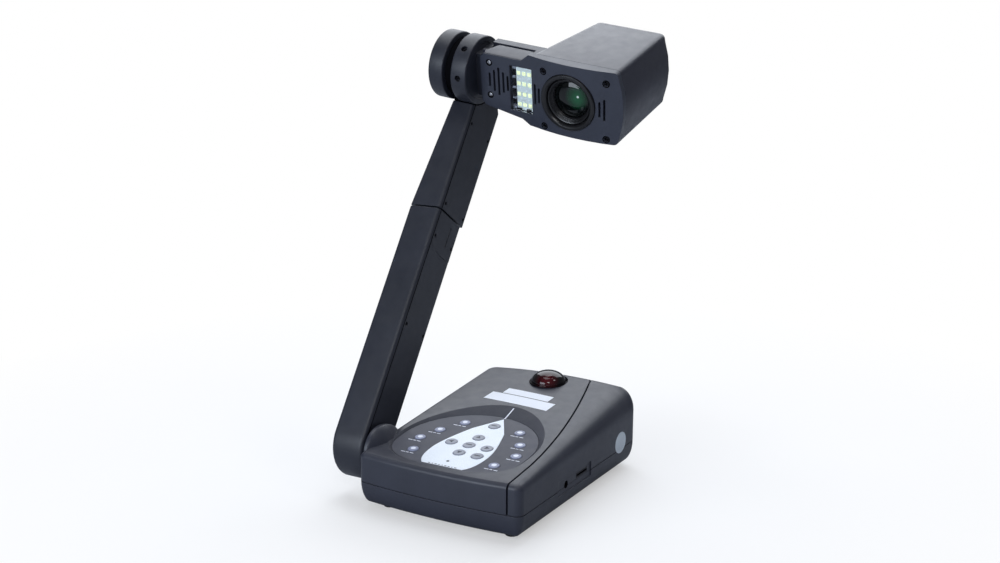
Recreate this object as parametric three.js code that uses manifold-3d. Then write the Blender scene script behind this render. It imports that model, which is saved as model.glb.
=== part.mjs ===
// Desktop document camera on a folding, swivelling arm.
// Millimetres. X runs to the right, Y to the rear and Z up, with the front edge of the base at Y = 0.
import * as THREE from 'three';
import { mergeVertices } from 'three/addons/utils/BufferGeometryUtils.js';
import Module from 'manifold-3d';

const wasm = await Module();
wasm.setup();

// Clearances and cuts that every piece shares
const fitGap = 0.3;
const cutOverrun = 4;
const weldDistance = 0.0001;
const finestDetail = 0.02;

// Numbers of flat faces on round work
const roundSides = 28;
const smallRoundSides = 16;
const keySides = 12;
const eggSides = 40;
const cornerSteps = 4;
const curveSteps = 6;
const slotSteps = 2;
const crownSteps = 10;
const nutSides = 6;

const fullTurn = 2 * Math.PI;
const quarterTurn = fullTurn / 4;

// Base housing
const base = {
  width: 200,
  depth: 283,
  seamHeight: 31.3,
  seamGap: 0.5,
  frontEdgeHeight: 64,
  rearRise: 29.4,
  rearCrown: 5.5,
  frontBow: 5,
  frontCorner: 9,
  rearCorner: 15,
  leftFillet: 8,
  rightFrontFillet: 9,
  rightRearFillet: 28,
  frontFillet: 5,
  rearFillet: 12,
  wall: 2.6,
  floorHeight: 7,
  bottomInset: 11,
};

// Removable cover on the right, parted from the main top by a sweeping seam
const sideCover = {
  frontWidth: 15.5,
  straightLength: 50,
  seamGap: 0.7,
};
// Where the seam bends and ends: widths as shares of the base's width, and the bend's place along its depth
const sideCoverShares = { rearWidth: 0.305, bendWidth: 0.1, bendPlace: 0.53 };

// Sunken control panel: a flat egg shape under the crowned top, so it lies ever deeper towards the rear
const panel = {
  leftMargin: 15,
  rightMargin: 27,
  frontMargin: 9.6,
  frontReach: 58.4,
  rearReach: 79,
  rimSpread: 6,
  rimRearSpread: 20,
  sunk: 1.7,
  overlayThickness: 1.4,
};
// Fullness of the egg's outline, where 2 is an ellipse
const fullnessShares = { front: 3, rear: 2 };

// Teardrop inlay with the cursor keys
const teardrop = { aside: 4.5, frontMargin: 3.5, tipMargin: 4 };
// Its widths as shares of half the panel's width, and its places as shares of its own length
const teardropShares = {
  halfWidth: 0.44,
  frontHalfWidth: 0.31,
  shoulderHalfWidth: 0.26,
  widest: 0.28,
  shoulder: 0.73,
};

const key = {
  radius: 6.9,
  smallRadius: 6.2,
  height: 3.4,
  proud: 0.9,
  edgeRound: 0.5,
  travel: 0.8,
};
// The middle cross of keys: shares of half the panel's width across it, and of its length along it
const crossShares = { pitchX: 0.2835, pitchY: 0.1477, centreY: 0.425, tipY: 0.816, lamp: 0.1157 };
// The outer keys, left and right of the teardrop's middle line, in the same shares
const outerKeyShares = {
  rear: { aside: 0.4443, y: 0.7817 },
  upper: { aside: 0.6424, y: 0.5815 },
  lower: { aside: 0.762, y: 0.396 },
  front: { aside: 0.6367, y: 0.1885 },
};

const keypadBoard = { thickness: 1.6, inset: 10 };

const lampDot = { radius: 1.6 };

// Remote control receiver dome
const dome = {
  leftOfMiddle: 2,
  fromRear: 33,
  radius: 20.5,
  height: 13,
  flange: 2.4,
  seatDepth: 2,
};

// Boards and sockets
const mainBoard = {
  thickness: 1.6,
  sideInset: 20,
  frontInset: 34,
  rearInset: 17,
  height: 17,
  postRadius: 4,
  postInset: 8,
};
const sidePorts = {
  startY: 82,
  length: 78,
  overSeam: 10.7,
  underSeam: 6.3,
  sunk: 1.2,
  jackOverSeam: 2,
  jackRadius: 4,
  jackBore: 1.8,
  jackDepth: 14,
  cardOverSeam: 3.9,
  cardWidth: 26,
  cardHeight: 5,
  cardSlotWidth: 24,
  cardSlotHeight: 2.4,
  cardDepth: 30,
};
// Where the side sockets stand, as shares of the length of their field
const sidePortShares = { jack: 0.256, card: 0.728 };
const rearPorts = {
  cornerMargin: 19,
  seamMargin: 7,
  overSeam: 3.2,
  fieldHeight: 19.5,
  plateThickness: 2,
  bodyDepth: 12,
  screenWidth: 31,
  screenHeight: 12.5,
  screenShellWidth: 17,
  screenShellHeight: 8.3,
  screenShellDepth: 5.5,
  usbWidth: 12,
  usbHeight: 11,
  usbMouthWidth: 8.6,
  usbMouthHeight: 7.8,
  usbTongueHeight: 3.2,
  usbTongueWidth: 5.6,
  roundRadius: 5.5,
  videoCollar: 4.2,
  videoCollarDepth: 8,
  videoBore: 1.7,
  inletBore: 3.1,
  inletPin: 1,
};

const foot = { radius: 8, height: 8.5, insetX: 24, insetY: 26, taper: 1.2 };

// Arm pivot at the left of the base
const pivot = {
  setback: 38,
  underFrontEdge: 6.5,
  housingRadius: 26,
  housingReach: 18,
  housingDome: 13,
  housingProud: 1.5,
  bushRadius: 12,
  bushLength: 13,
  shaftRadius: 8,
  washerRadius: 20,
  washerThickness: 0.9,
  blockHalf: 15,
  blockSpare: 6.6,
};

// Arm: two flat beams of the same section, one above the other
const arm = {
  leanAngle: 33.3,
  sideGap: 3,
  width: 41.7,
  depth: 54,
  lowerLength: 279,
  footLength: 34,
  footFrontRadius: 26,
  footRearRadius: 12,
  edgeRadius: 5,
  rearEdgeRadius: 2.5,
  wall: 2.4,
  coverDepth: 5,
  coverSeam: 0.5,
  coverLip: 2.2,
  ribWidth: 1.8,
  ribPitch: 46,
  ribHeight: 16,
  endWall: 3,
  endBlockLength: 45,
  endBlockBow: 6,
  endBlockGap: 0.4,
  elbowGap: 2.4,
  upperLength: 176,
  upperTopWidth: 28,
  upperRearStep: 5,
  topSlope: 24,
  screwRadius: 2.4,
  screwDepth: 1.6,
  screwFromFront: 9.5,
  screwFromRear: 4.8,
  screwFromElbow: 30,
  screwOverElbow: 9.5,
  screwFromTop: 62,
  keeperWidth: 2,
  keeperDepth: 0.8,
  keeperLength: 24,
  keeperStart: 12,
};

// Turning joint between the two beams
const swivel = {
  tubeRadius: 10,
  tubeBore: 6,
  washerRadius: 17,
  flangeRadius: 14,
  flangeThickness: 3,
  reach: 24,
  nutRadius: 15,
  nutThickness: 6,
};

// Hinge that carries the head at the top of the arm
const hinge = {
  forward: 40.5,
  overArmTop: 1.5,
  rightOfMiddle: 0.15,
  droopAngle: 8.8,
  radius: 40.5,
  rimRound: 1.6,
  knobLength: 19.4,
  tongueMiddle: 1.2,
  tongueThickness: 8.8,
  tongueGap: 1.4,
  hubLength: 20.6,
  tongueRadius: 35,
  tongueStemHalf: 17,
  tongueStemLength: 58,
  pinRadius: 6,
  pinHeadRadius: 10,
  pinHeadSink: 3,
  sweepGap: 1.6,
  dimpleRadius: 3.4,
  dimpleDepth: 5,
  dimpleAngles: [-62, 0, 62],
  collarLength: 5.9,
  collarHalfHeight: 26,
  collarFront: 12,
  collarRear: 20,
};

// Camera head, measured from the hinge axis: X along the axis, Y to the rear and Z up
const head = {
  tiltAngle: 20.5,
  faceFront: 15,
  faceThickness: 7,
  faceBow: 6,
  start: 100,
  width: 112,
  top: 38.5,
  bottom: -49.5,
  sideBow: 6,
  depth: 123,
  corner: 7,
  rearTaper: 24,
  rearFillet: 7,
  wall: 2.4,
  shellGap: 0.4,
  neckTop: 30,
  neckBottomStart: -35,
  neckBottomEnd: -43,
  neckCorner: 5,
  stepLength: 10,
  stepSetback: 12,
  neckRear: 26,
  neckRearTop: 31,
  neckRearBottom: -30,
  grooveRear: 15,
  grooveDepth: 7,
  grooveEndInset: 8,
  screwRadius: 3.3,
  screwDepth: 2.5,
  screwStartInset: 19,
  screwEndInset: 14,
  screwTopInset: 14,
  screwBottomInset: 6,
  neckScrewHigh: 19.5,
  neckScrewLow: -21,
};

// Lens, across from the head's start and down from the middle of its height
const lens = {
  fromStart: 51,
  underMiddle: 1.5,
  bezelWidth: 6.5,
  bezelProud: 1.6,
  bezelDepth: 9,
  tubeGap: 0.5,
  stepWidth: 5,
  seatWidth: 3.5,
  tubeSunk: 2.5,
  tubeLength: 30,
  glassThickness: 5,
  glassBulge: 4,
  glassSunk: 10,
};
// Radius of the lens bezel as a share of half the head's height
const bezelShare = 0.773;

// Window of the lamp, from a little past the head's start back along the neck, and the board behind it
const ledWindow = { overlap: 2, width: 31, top: 21.5, bottom: -34.5, thickness: 2, frame: 1.2 };
const ledBoard = { inset: 8.5, pitchX: 7, pitchZ: 13, chip: 4.4, chipHeight: 1, thickness: 1.6, gap: 1.6 };
const ledColumnCount = 3;
const ledRowCount = 4;

// Vent slots: four in the neck and a pair on each side of the lens, the outer one of a pair longer
const slots = {
  width: 2.6,
  neckInset: 11.9,
  neckPitch: 6.1,
  neckMiddle: -2,
  lensAside: 39.1,
  lensPitch: 5.6,
  lensMiddle: -8,
  innerHalf: 9.5,
  outerHalf: 13,
};
const slotCornerShare = 0.8;
// Half heights of the neck's slots as shares of the longest
const longestNeckSlot = 17.5;
const neckSlotShares = [0.5, 0.76, 1, 0.74];

const cameraBoard = { width: 60, height: 56, thickness: 1.6 };
const zoomBlock = { width: 50, height: 50, length: 40 };

// Finishes
const finishes = {
  charcoal: { color: 0x3b3d47, roughness: 0.5, metalness: 0 },
  darkCharcoal: { color: 0x2b2c35, roughness: 0.55, metalness: 0 },
  black: { color: 0x131318, roughness: 0.4, metalness: 0 },
  overlay: { color: 0x4a474c, roughness: 0.6, metalness: 0 },
  pale: { color: 0xe4ecf5, roughness: 0.45, metalness: 0 },
  paleKey: { color: 0xb9bfcd, roughness: 0.5, metalness: 0 },
  receiver: { color: 0x1c0508, roughness: 0.08, metalness: 0 },
  rubber: { color: 0x1a1a1c, roughness: 0.9, metalness: 0 },
  steel: { color: 0xa8a9ad, roughness: 0.35, metalness: 1 },
  brass: { color: 0xb59a55, roughness: 0.4, metalness: 1 },
  board: { color: 0x1d5a38, roughness: 0.5, metalness: 0 },
  ledBoard: { color: 0xf2f4ee, roughness: 0.5, metalness: 0 },
  clear: { color: 0xe8eef2, roughness: 0.05, metalness: 0 },
  glass: { color: 0x18241f, roughness: 0.03, metalness: 0 },
};

// Solids from geometry, and geometry from solids
function solid(geometry) {
  const plain = geometry.index ? geometry.toNonIndexed() : geometry.clone();
  plain.deleteAttribute('normal');
  plain.deleteAttribute('uv');
  const merged = mergeVertices(plain, weldDistance);
  const triangles = [];
  const index = merged.index.array;
  for (let i = 0; i < index.length; i += 3) {
    const [a, b, c] = [index[i], index[i + 1], index[i + 2]];
    if (a !== b && b !== c && c !== a) triangles.push(a, b, c);
  }
  const shape = meshSolid(merged.attributes.position.array, triangles);
  return shape.volume() < 0 ? meshSolid(merged.attributes.position.array, triangles.reverse()) : shape;
}

function meshSolid(positions, triangles) {
  return new wasm.Manifold(new wasm.Mesh({
    numProp: 3,
    vertProperties: Float32Array.from(positions),
    triVerts: Uint32Array.from(triangles),
  }));
}

function geometryOf(shape) {
  const mesh = shape.simplify(finestDetail).getMesh();
  const geometry = new THREE.BufferGeometry();
  geometry.setAttribute('position', new THREE.BufferAttribute(Float32Array.from(mesh.vertProperties), 3));
  geometry.setIndex(new THREE.BufferAttribute(Uint32Array.from(mesh.triVerts), 1));
  geometry.computeVertexNormals();
  return geometry;
}

function cut(body, ...tools) {
  return tools.reduce((left, tool) => left.subtract(tool), body);
}

function join(body, ...others) {
  return others.reduce((left, other) => left.add(other), body);
}

// Straight solids
function box(x0, x1, y0, y1, z0, z1) {
  const geometry = new THREE.BoxGeometry(x1 - x0, y1 - y0, z1 - z0);
  geometry.translate((x0 + x1) / 2, (y0 + y1) / 2, (z0 + z1) / 2);
  return solid(geometry);
}

const axisBases = {
  x: [new THREE.Vector3(0, 1, 0), new THREE.Vector3(0, 0, 1), new THREE.Vector3(1, 0, 0)],
  y: [new THREE.Vector3(0, 0, 1), new THREE.Vector3(1, 0, 0), new THREE.Vector3(0, 1, 0)],
  z: [new THREE.Vector3(1, 0, 0), new THREE.Vector3(0, 1, 0), new THREE.Vector3(0, 0, 1)],
};

// A flat outline drawn out along an axis. Its two coordinates are Y and Z, Z and X, or X and Y.
function extrude(outline, axis, from, to, steps = curveSteps) {
  const options = { depth: to - from, bevelEnabled: false, curveSegments: steps };
  const geometry = new THREE.ExtrudeGeometry(outline, options);
  geometry.translate(0, 0, from);
  geometry.applyMatrix4(new THREE.Matrix4().makeBasis(...axisBases[axis]));
  return solid(geometry);
}

function circle(radius, centreA = 0, centreB = 0, sides = smallRoundSides) {
  const points = [];
  for (let i = 0; i < sides; i += 1) {
    const angle = (i / sides) * fullTurn;
    points.push(new THREE.Vector2(centreA + radius * Math.cos(angle), centreB + radius * Math.sin(angle)));
  }
  return new THREE.Shape(points);
}

// A turned solid: rows of [radius, distance along the axis] that start and end on the axis or close
function turned(rows, axis, sides = roundSides) {
  const geometry = new THREE.LatheGeometry(rows.map(([r, a]) => new THREE.Vector2(r, a)), sides);
  const along = axisBases[axis][2];
  geometry.applyQuaternion(new THREE.Quaternion().setFromUnitVectors(new THREE.Vector3(0, 1, 0), along));
  return solid(geometry);
}

function ringRows(outer, inner, from, to) {
  return [[inner, from], [outer, from], [outer, to], [inner, to], [inner, from]];
}

function roundedOutline(a0, a1, b0, b1, radii) {
  const [r00, r10, r11, r01] = radii;
  const outline = new THREE.Shape();
  outline.moveTo(a0 + r00, b0);
  outline.lineTo(a1 - r10, b0);
  if (r10 > 0) outline.absarc(a1 - r10, b0 + r10, r10, -quarterTurn, 0, false);
  outline.lineTo(a1, b1 - r11);
  if (r11 > 0) outline.absarc(a1 - r11, b1 - r11, r11, 0, quarterTurn, false);
  outline.lineTo(a0 + r01, b1);
  if (r01 > 0) outline.absarc(a0 + r01, b1 - r01, r01, quarterTurn, 2 * quarterTurn, false);
  outline.lineTo(a0, b0 + r00);
  if (r00 > 0) outline.absarc(a0 + r00, b0 + r00, r00, 2 * quarterTurn, 3 * quarterTurn, false);
  return outline;
}

// A skin over rings of equally many points, closed at both ends by fans
function loft(rings) {
  const count = rings[0].length;
  const positions = [];
  const middle = (ring) => ring.reduce((sum, p) => sum.clone().add(p), new THREE.Vector3()).divideScalar(count);
  rings.forEach((ring) => ring.forEach((p) => positions.push(p.x, p.y, p.z)));
  [rings[0], rings[rings.length - 1]].forEach((ring) => {
    const centre = middle(ring);
    positions.push(centre.x, centre.y, centre.z);
  });
  const startCentre = rings.length * count;
  const lastRing = (rings.length - 1) * count;
  const triangles = [];
  for (let i = 0; i < count; i += 1) {
    const next = (i + 1) % count;
    for (let k = 0; k < rings.length - 1; k += 1) {
      const low = k * count;
      const high = low + count;
      triangles.push(low + i, low + next, high + next, low + i, high + next, high + i);
    }
    triangles.push(startCentre, next, i, startCentre + 1, lastRing + i, lastRing + next);
  }
  const geometry = new THREE.BufferGeometry();
  geometry.setAttribute('position', new THREE.Float32BufferAttribute(positions, 3));
  geometry.setIndex(triangles);
  return solid(geometry);
}

// A height over everything in the base, for cuts that run out through its top
const highest = base.frontEdgeHeight + base.rearRise + base.rearCrown + base.depth;

// Height of the sloping top over the base. Its crown grows from nothing at the front edge to the rear edge.
const topSlope = base.rearRise / base.depth;

function topHeight(x, y) {
  const aside = x / base.width - 1 / 2;
  const crown = base.rearCrown * (y / base.depth) * (1 - (2 * aside) ** 2);
  return base.frontEdgeHeight + topSlope * y + crown;
}

// Places that the panel's sizes give
const panelLeft = panel.leftMargin;
const panelRight = base.width - panel.rightMargin;
const panelMiddleX = (panelLeft + panelRight) / 2;
const panelHalfWidth = (panelRight - panelLeft) / 2;
const panelMiddleY = panel.frontMargin + panel.frontReach;
const panelLength = panel.frontReach + panel.rearReach;
const panelRearY = panel.frontMargin + panelLength;
const teardropX = panelMiddleX + teardrop.aside;

// Height of the face of the panel's overlay, which runs level from left to right
function panelHeight(y) {
  return base.frontEdgeHeight + topSlope * y - panel.sunk;
}

const recessDepth = topHeight(panelMiddleX, panelRearY) - panelHeight(panelRearY);

// Everything over the base's plan and under a surface that runs straight from front to rear
function under(heightAt) {
  const left = -cutOverrun;
  const right = base.width + cutOverrun;
  const ring = (y) => {
    const points = [new THREE.Vector3(right, y, -cutOverrun), new THREE.Vector3(left, y, -cutOverrun)];
    for (let i = 0; i <= crownSteps; i += 1) {
      const x = left + ((right - left) * i) / crownSteps;
      points.push(new THREE.Vector3(x, y, heightAt(x, y)));
    }
    return points;
  };
  return loft([ring(-base.frontBow - cutOverrun), ring(base.depth + cutOverrun)]);
}

// One corner of the base's plan, drawn in by the inset of the side before it and of the side after it
function planCorner(side, inset, turn) {
  const sideFillets = [
    [base.leftFillet, base.frontFillet],
    [base.frontFillet, base.rightFrontFillet],
    [base.rightRearFillet, base.rearFillet],
    [base.rearFillet, base.leftFillet],
  ];
  const [before, after] = sideFillets[side];
  const insets = [before, after].map((fillet) => inset + Math.max(fillet - inset, base.wall) * turn);
  const [insetX, insetY] = side % 2 === 0 ? insets : [insets[1], insets[0]];
  const atRight = side === 1 || side === 2;
  const atRear = side > 1;
  const full = atRear ? base.rearCorner : base.frontCorner;
  const radius = Math.max(full - (insetX + insetY) / 2, fitGap);
  const x = atRight ? base.width - insetX - radius : insetX + radius;
  const y = atRear ? base.depth - insetY - radius : insetY + radius;
  return { x, y, radius, before, after };
}

// Plan outline of the base at an inset and at a share of the turn of its fillets.
// Each side keeps its own fillet, and each point knows the fillet where it stands.
function basePlan(inset, turn) {
  const corners = [0, 1, 2, 3].map((side) => planCorner(side, inset, turn));
  const onCorner = (corner, angle) => ({
    x: corner.x + corner.radius * Math.cos(angle),
    y: corner.y + corner.radius * Math.sin(angle),
  });
  const points = [];
  corners.forEach((corner, side) => {
    const start = (side + 2) * quarterTurn;
    for (let k = 0; k <= cornerSteps; k += 1) {
      const share = k / cornerSteps;
      const fillet = corner.before + (corner.after - corner.before) * share;
      points.push({ ...onCorner(corner, start + quarterTurn * share), fillet });
    }
    const next = corners[(side + 1) % corners.length];
    const from = onCorner(corner, start + quarterTurn);
    const to = onCorner(next, start + quarterTurn);
    for (let k = 1; k < curveSteps; k += 1) {
      const share = k / curveSteps;
      const bow = side === 0 ? base.frontBow * (1 - (2 * share - 1) ** 2) : 0;
      const fillet = corner.after + (next.before - corner.after) * share;
      points.push({ x: from.x + (to.x - from.x) * share, y: from.y + (to.y - from.y) * share - bow, fillet });
    }
  });
  return points;
}

// The blank of the top rises inside its edge by this share of the plan, and the crown is cut from it
const risingShare = 0.94;

function planRing(inset, turn, heightAt) {
  return basePlan(inset, turn).map((p) => new THREE.Vector3(p.x, p.y, heightAt(p)));
}

// The upper half of the housing as a full block: walls, a fillet all round and the crowned top
function topBlock(inset, lowered, bottom) {
  const rings = [planRing(inset, 0, () => bottom)];
  const filletOf = (p) => Math.max(p.fillet - inset, base.wall);
  for (let k = 0; k <= cornerSteps; k += 1) {
    const angle = (k / cornerSteps) * quarterTurn;
    const drop = (p) => topHeight(p.x, p.y) - lowered - filletOf(p) * (1 - Math.sin(angle));
    rings.push(planRing(inset, 1 - Math.cos(angle), drop));
  }
  const edge = rings[rings.length - 1];
  const middleX = base.width / 2;
  const middleY = base.depth / 2;
  rings.push(edge.map((p) => {
    const x = middleX + (p.x - middleX) * risingShare;
    const y = middleY + (p.y - middleY) * risingShare;
    return new THREE.Vector3(x, y, p.z + base.rearCrown);
  }));
  return loft(rings).intersect(under((x, y) => topHeight(x, y) - lowered));
}

// An egg outline: fuller than an ellipse, with its own reach to the front and to the rear
function eggRing(spread, rearSpread, over) {
  const points = [];
  for (let i = 0; i < eggSides; i += 1) {
    const angle = (i / eggSides) * fullTurn;
    const cos = Math.cos(angle);
    const sin = Math.sin(angle);
    const power = 2 / (sin > 0 ? fullnessShares.rear : fullnessShares.front);
    const reach = sin > 0 ? panel.rearReach + rearSpread : panel.frontReach + spread;
    const x = panelMiddleX + Math.sign(cos) * (panelHalfWidth + spread) * Math.abs(cos) ** power;
    const y = panelMiddleY + Math.sign(sin) * reach * Math.abs(sin) ** power;
    points.push(new THREE.Vector3(x, y, panelHeight(y) + over));
  }
  return points;
}

// The hollow of the sunken panel down to the given depth under its face, wider towards its open top
function panelHollow(grown, depth) {
  const height = recessDepth + cutOverrun;
  const share = height / recessDepth;
  return loft([
    eggRing(grown, grown, -depth),
    eggRing(grown, grown, 0),
    eggRing(grown + panel.rimSpread * share, grown + panel.rimRearSpread * share, height),
  ]);
}

// A sheet of the panel's shape between two depths under its face
function panelSheet(shrink, top, bottom) {
  return loft([eggRing(-shrink, -shrink, -bottom), eggRing(-shrink, -shrink, -top)]);
}

// Turn that sets a key square to the panel
const panelNormal = new THREE.Vector3(0, -topSlope, 1).normalize();
const panelTurn = new THREE.Quaternion().setFromUnitVectors(new THREE.Vector3(0, 0, 1), panelNormal);

// A turned solid square to the panel: rows of [radius, height over the overlay's face]
function onPanel(place, rows) {
  const geometry = new THREE.LatheGeometry(rows.map(([r, a]) => new THREE.Vector2(r, a)), keySides);
  geometry.rotateX(quarterTurn);
  geometry.applyQuaternion(panelTurn);
  geometry.translate(place.x, place.y, panelHeight(place.y));
  return solid(geometry);
}

function panelBar(place, radius, from, to) {
  return onPanel(place, [[0, from], [radius, from], [radius, to], [0, to]]);
}

// Every key with its place and size
function panelPlace(aside, along) {
  return { x: teardropX + panelHalfWidth * aside, y: panel.frontMargin + panelLength * along };
}

const lampPlace = panelPlace(0, crossShares.lamp);

function keyPlaces() {
  const { pitchX, pitchY, centreY, tipY } = crossShares;
  const { radius } = key;
  const places = [
    { name: 'menu_key', ...panelPlace(0, tipY), radius },
    { name: 'up_key', ...panelPlace(0, centreY + pitchY), radius },
    { name: 'left_key', ...panelPlace(-pitchX, centreY), radius },
    { name: 'enter_key', ...panelPlace(0, centreY), radius },
    { name: 'right_key', ...panelPlace(pitchX, centreY), radius },
    { name: 'down_key', ...panelPlace(0, centreY - pitchY), radius },
    { name: 'return_key', ...panelPlace(pitchX, centreY - pitchY), radius },
  ];
  const names = {
    rear: ['capture_key', 'zoom_key'],
    upper: ['rotate_key', 'focus_key'],
    lower: ['source_key', 'lamp_key'],
    front: ['power_key', 'freeze_key'],
  };
  Object.entries(outerKeyShares).forEach(([row, share]) => {
    [-1, 1].forEach((side, column) => {
      const place = panelPlace(side * share.aside, share.y);
      places.push({ name: names[row][column], ...place, radius: key.smallRadius });
    });
  });
  return places;
}

const keys = keyPlaces();

function keySolid(place) {
  const top = key.proud;
  const bottom = top - key.height;
  const rim = place.radius - key.edgeRound;
  return onPanel(place, [
    [0, bottom],
    [place.radius, bottom],
    [place.radius, top - key.edgeRound],
    [rim, top],
    [0, top],
  ]);
}

function keyHoles(clearance, depth) {
  return keys.map((place) => panelBar(place, place.radius + clearance, -depth, cutOverrun));
}

// Teardrop outline, from its flat front edge round the belly to the tip
function teardropOutline(shrink) {
  const middle = teardropX;
  const half = panelHalfWidth * teardropShares.halfWidth - shrink;
  const front = panelHalfWidth * teardropShares.frontHalfWidth - shrink;
  const shoulder = panelHalfWidth * teardropShares.shoulderHalfWidth - shrink;
  const start = panel.frontMargin + teardrop.frontMargin;
  const end = panelRearY - teardrop.tipMargin;
  const widestY = start + (end - start) * teardropShares.widest;
  const shoulderY = start + (end - start) * teardropShares.shoulder;
  const rise = (widestY - start) / 2;
  const frontY = start + shrink;
  const outline = new THREE.Shape();
  outline.moveTo(middle - front, frontY);
  outline.lineTo(middle + front, frontY);
  outline.quadraticCurveTo(middle + half, frontY + rise / 2, middle + half, widestY);
  outline.quadraticCurveTo(middle + half, widestY + rise, middle + shoulder, shoulderY);
  outline.lineTo(middle, end - 2 * shrink);
  outline.lineTo(middle - shoulder, shoulderY);
  outline.quadraticCurveTo(middle - half, widestY + rise, middle - half, widestY);
  outline.quadraticCurveTo(middle - half, frontY + rise / 2, middle - front, frontY);
  return outline;
}

function teardropPrism(shrink) {
  return extrude(teardropOutline(shrink), 'z', base.floorHeight, topHeight(teardropX, base.depth));
}

// The seam that parts the side cover from the top, as everything to the right of it
const coverRearX = base.width * (1 - sideCoverShares.rearWidth);

function seamBlock(offset) {
  const frontX = base.width - sideCover.frontWidth + offset;
  const rearX = coverRearX + offset;
  const bendX = base.width * (1 - sideCoverShares.bendWidth) + offset;
  const bendY = base.depth * sideCoverShares.bendPlace;
  const front = -base.frontBow - cutOverrun;
  const rear = base.depth + cutOverrun;
  const right = base.width + cutOverrun;
  const outline = new THREE.Shape();
  outline.moveTo(frontX, front);
  outline.lineTo(right, front);
  outline.lineTo(right, rear);
  outline.lineTo(rearX, rear);
  outline.lineTo(rearX, base.depth);
  outline.quadraticCurveTo(bendX, bendY, frontX, sideCover.straightLength);
  outline.lineTo(frontX, front);
  return extrude(outline, 'z', -cutOverrun, highest);
}

// Rounded housing of the arm pivot on the left of the base
const pivotHeight = base.frontEdgeHeight - pivot.underFrontEdge;
const seamTop = base.seamHeight + base.seamGap;

function pivotHousing() {
  const straight = pivot.housingReach - pivot.housingDome;
  const start = -pivot.housingProud;
  const rows = [[0, start], [pivot.housingRadius, start], [pivot.housingRadius, straight]];
  for (let k = 1; k < cornerSteps; k += 1) {
    const angle = (k / cornerSteps) * quarterTurn;
    rows.push([pivot.housingRadius * Math.cos(angle), straight + pivot.housingDome * Math.sin(angle)]);
  }
  rows.push([0, pivot.housingReach]);
  const keep = box(start, base.width, 0, base.depth, seamTop, highest);
  return turned(rows, 'x').translate(0, pivot.setback, pivotHeight).intersect(keep);
}

function pivotBore() {
  const outline = circle(pivot.bushRadius + fitGap, pivot.setback, pivotHeight);
  return extrude(outline, 'x', -pivot.housingProud - cutOverrun, pivot.bushLength);
}

// Openings for the sockets on the right side, which lie across the seam of the housing, and at the rear
function sidePortY(name) {
  return sidePorts.startY + sidePorts.length * sidePortShares[name];
}

const jackHeight = base.seamHeight + sidePorts.jackOverSeam;
const cardHeight = base.seamHeight + sidePorts.cardOverSeam;

function sidePortHollow() {
  const face = base.width - sidePorts.sunk;
  const end = sidePorts.startY + sidePorts.length;
  const low = base.seamHeight - sidePorts.underSeam;
  const high = base.seamHeight + sidePorts.overSeam;
  return box(face, base.width + cutOverrun, sidePorts.startY, end, low, high);
}

function sidePortHoles() {
  const inside = base.width - base.rightRearFillet;
  const outside = base.width + cutOverrun;
  const half = sidePorts.cardWidth / 2 + fitGap;
  const rise = sidePorts.cardHeight / 2 + fitGap;
  const [jackY, cardY] = [sidePortY('jack'), sidePortY('card')];
  const jack = extrude(circle(sidePorts.jackRadius + fitGap, jackY, jackHeight), 'x', inside, outside);
  return [jack, box(inside, outside, cardY - half, cardY + half, cardHeight - rise, cardHeight + rise)];
}

const rearPortStart = base.rearCorner + rearPorts.cornerMargin;
const rearPortEnd = coverRearX - rearPorts.seamMargin;
const rearPortLow = base.seamHeight + rearPorts.overSeam;
const rearPortHigh = rearPortLow + rearPorts.fieldHeight;
const rearPortMiddle = (rearPortLow + rearPortHigh) / 2;

function rearPortWindow(shrink) {
  const front = base.depth - base.rearFillet - cutOverrun;
  const rear = base.depth + cutOverrun;
  const [start, end] = [rearPortStart + shrink, rearPortEnd - shrink];
  return box(start, end, front, rear, rearPortLow + shrink, rearPortHigh - shrink);
}

// Hollow upper housing before the side cover is parted from it
function upperHousing() {
  const pocket = panel.overlayThickness + fitGap;
  const outer = topBlock(0, 0, seamTop);
  const jacket = panelHollow(base.wall, pocket + base.wall);
  const inner = topBlock(base.wall, base.wall, seamTop - cutOverrun).subtract(jacket);
  return cut(outer, inner, panelHollow(0, pocket));
}

const housing = upperHousing();
const parting = seamBlock(0);
const coverSide = seamBlock(sideCover.seamGap);

// Place of the receiver dome on the top
const domeX = base.width / 2 - dome.leftOfMiddle;
const domeY = base.depth - dome.fromRear;
const domeHeight = topHeight(domeX, domeY);

function domeSeat(radius, depth) {
  const outline = circle(radius, domeX, domeY, roundSides);
  return extrude(outline, 'z', domeHeight - depth, domeHeight + dome.height);
}

function baseUpperShell() {
  const keyRelief = panel.overlayThickness + base.wall + cutOverrun;
  const body = join(housing.subtract(parting), pivotHousing());
  const lamp = panelBar(lampPlace, lampDot.radius + fitGap, -keyRelief, cutOverrun);
  return cut(
    body,
    pivotBore(),
    domeSeat(dome.radius + fitGap, base.wall + base.rearCrown),
    domeSeat(dome.radius + dome.flange + fitGap, dome.seatDepth),
    rearPortWindow(0),
    lamp,
    ...keyHoles(2 * fitGap, keyRelief),
  );
}

function sideCoverShell() {
  return cut(housing.intersect(coverSide), sidePortHollow(), ...sidePortHoles());
}

// Lower tray: the wall turns in under the seam down to a flat floor
function trayBlock(inset, floor, top) {
  const rings = [];
  for (let k = 0; k <= cornerSteps; k += 1) {
    const angle = (k / cornerSteps) * quarterTurn;
    const turnIn = inset + base.bottomInset * (1 - Math.sin(angle));
    const height = floor + (base.seamHeight - floor) * (1 - Math.cos(angle));
    rings.push(planRing(turnIn, 0, () => height));
  }
  if (top > base.seamHeight) rings.push(planRing(inset, 0, () => top));
  return loft(rings);
}

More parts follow.
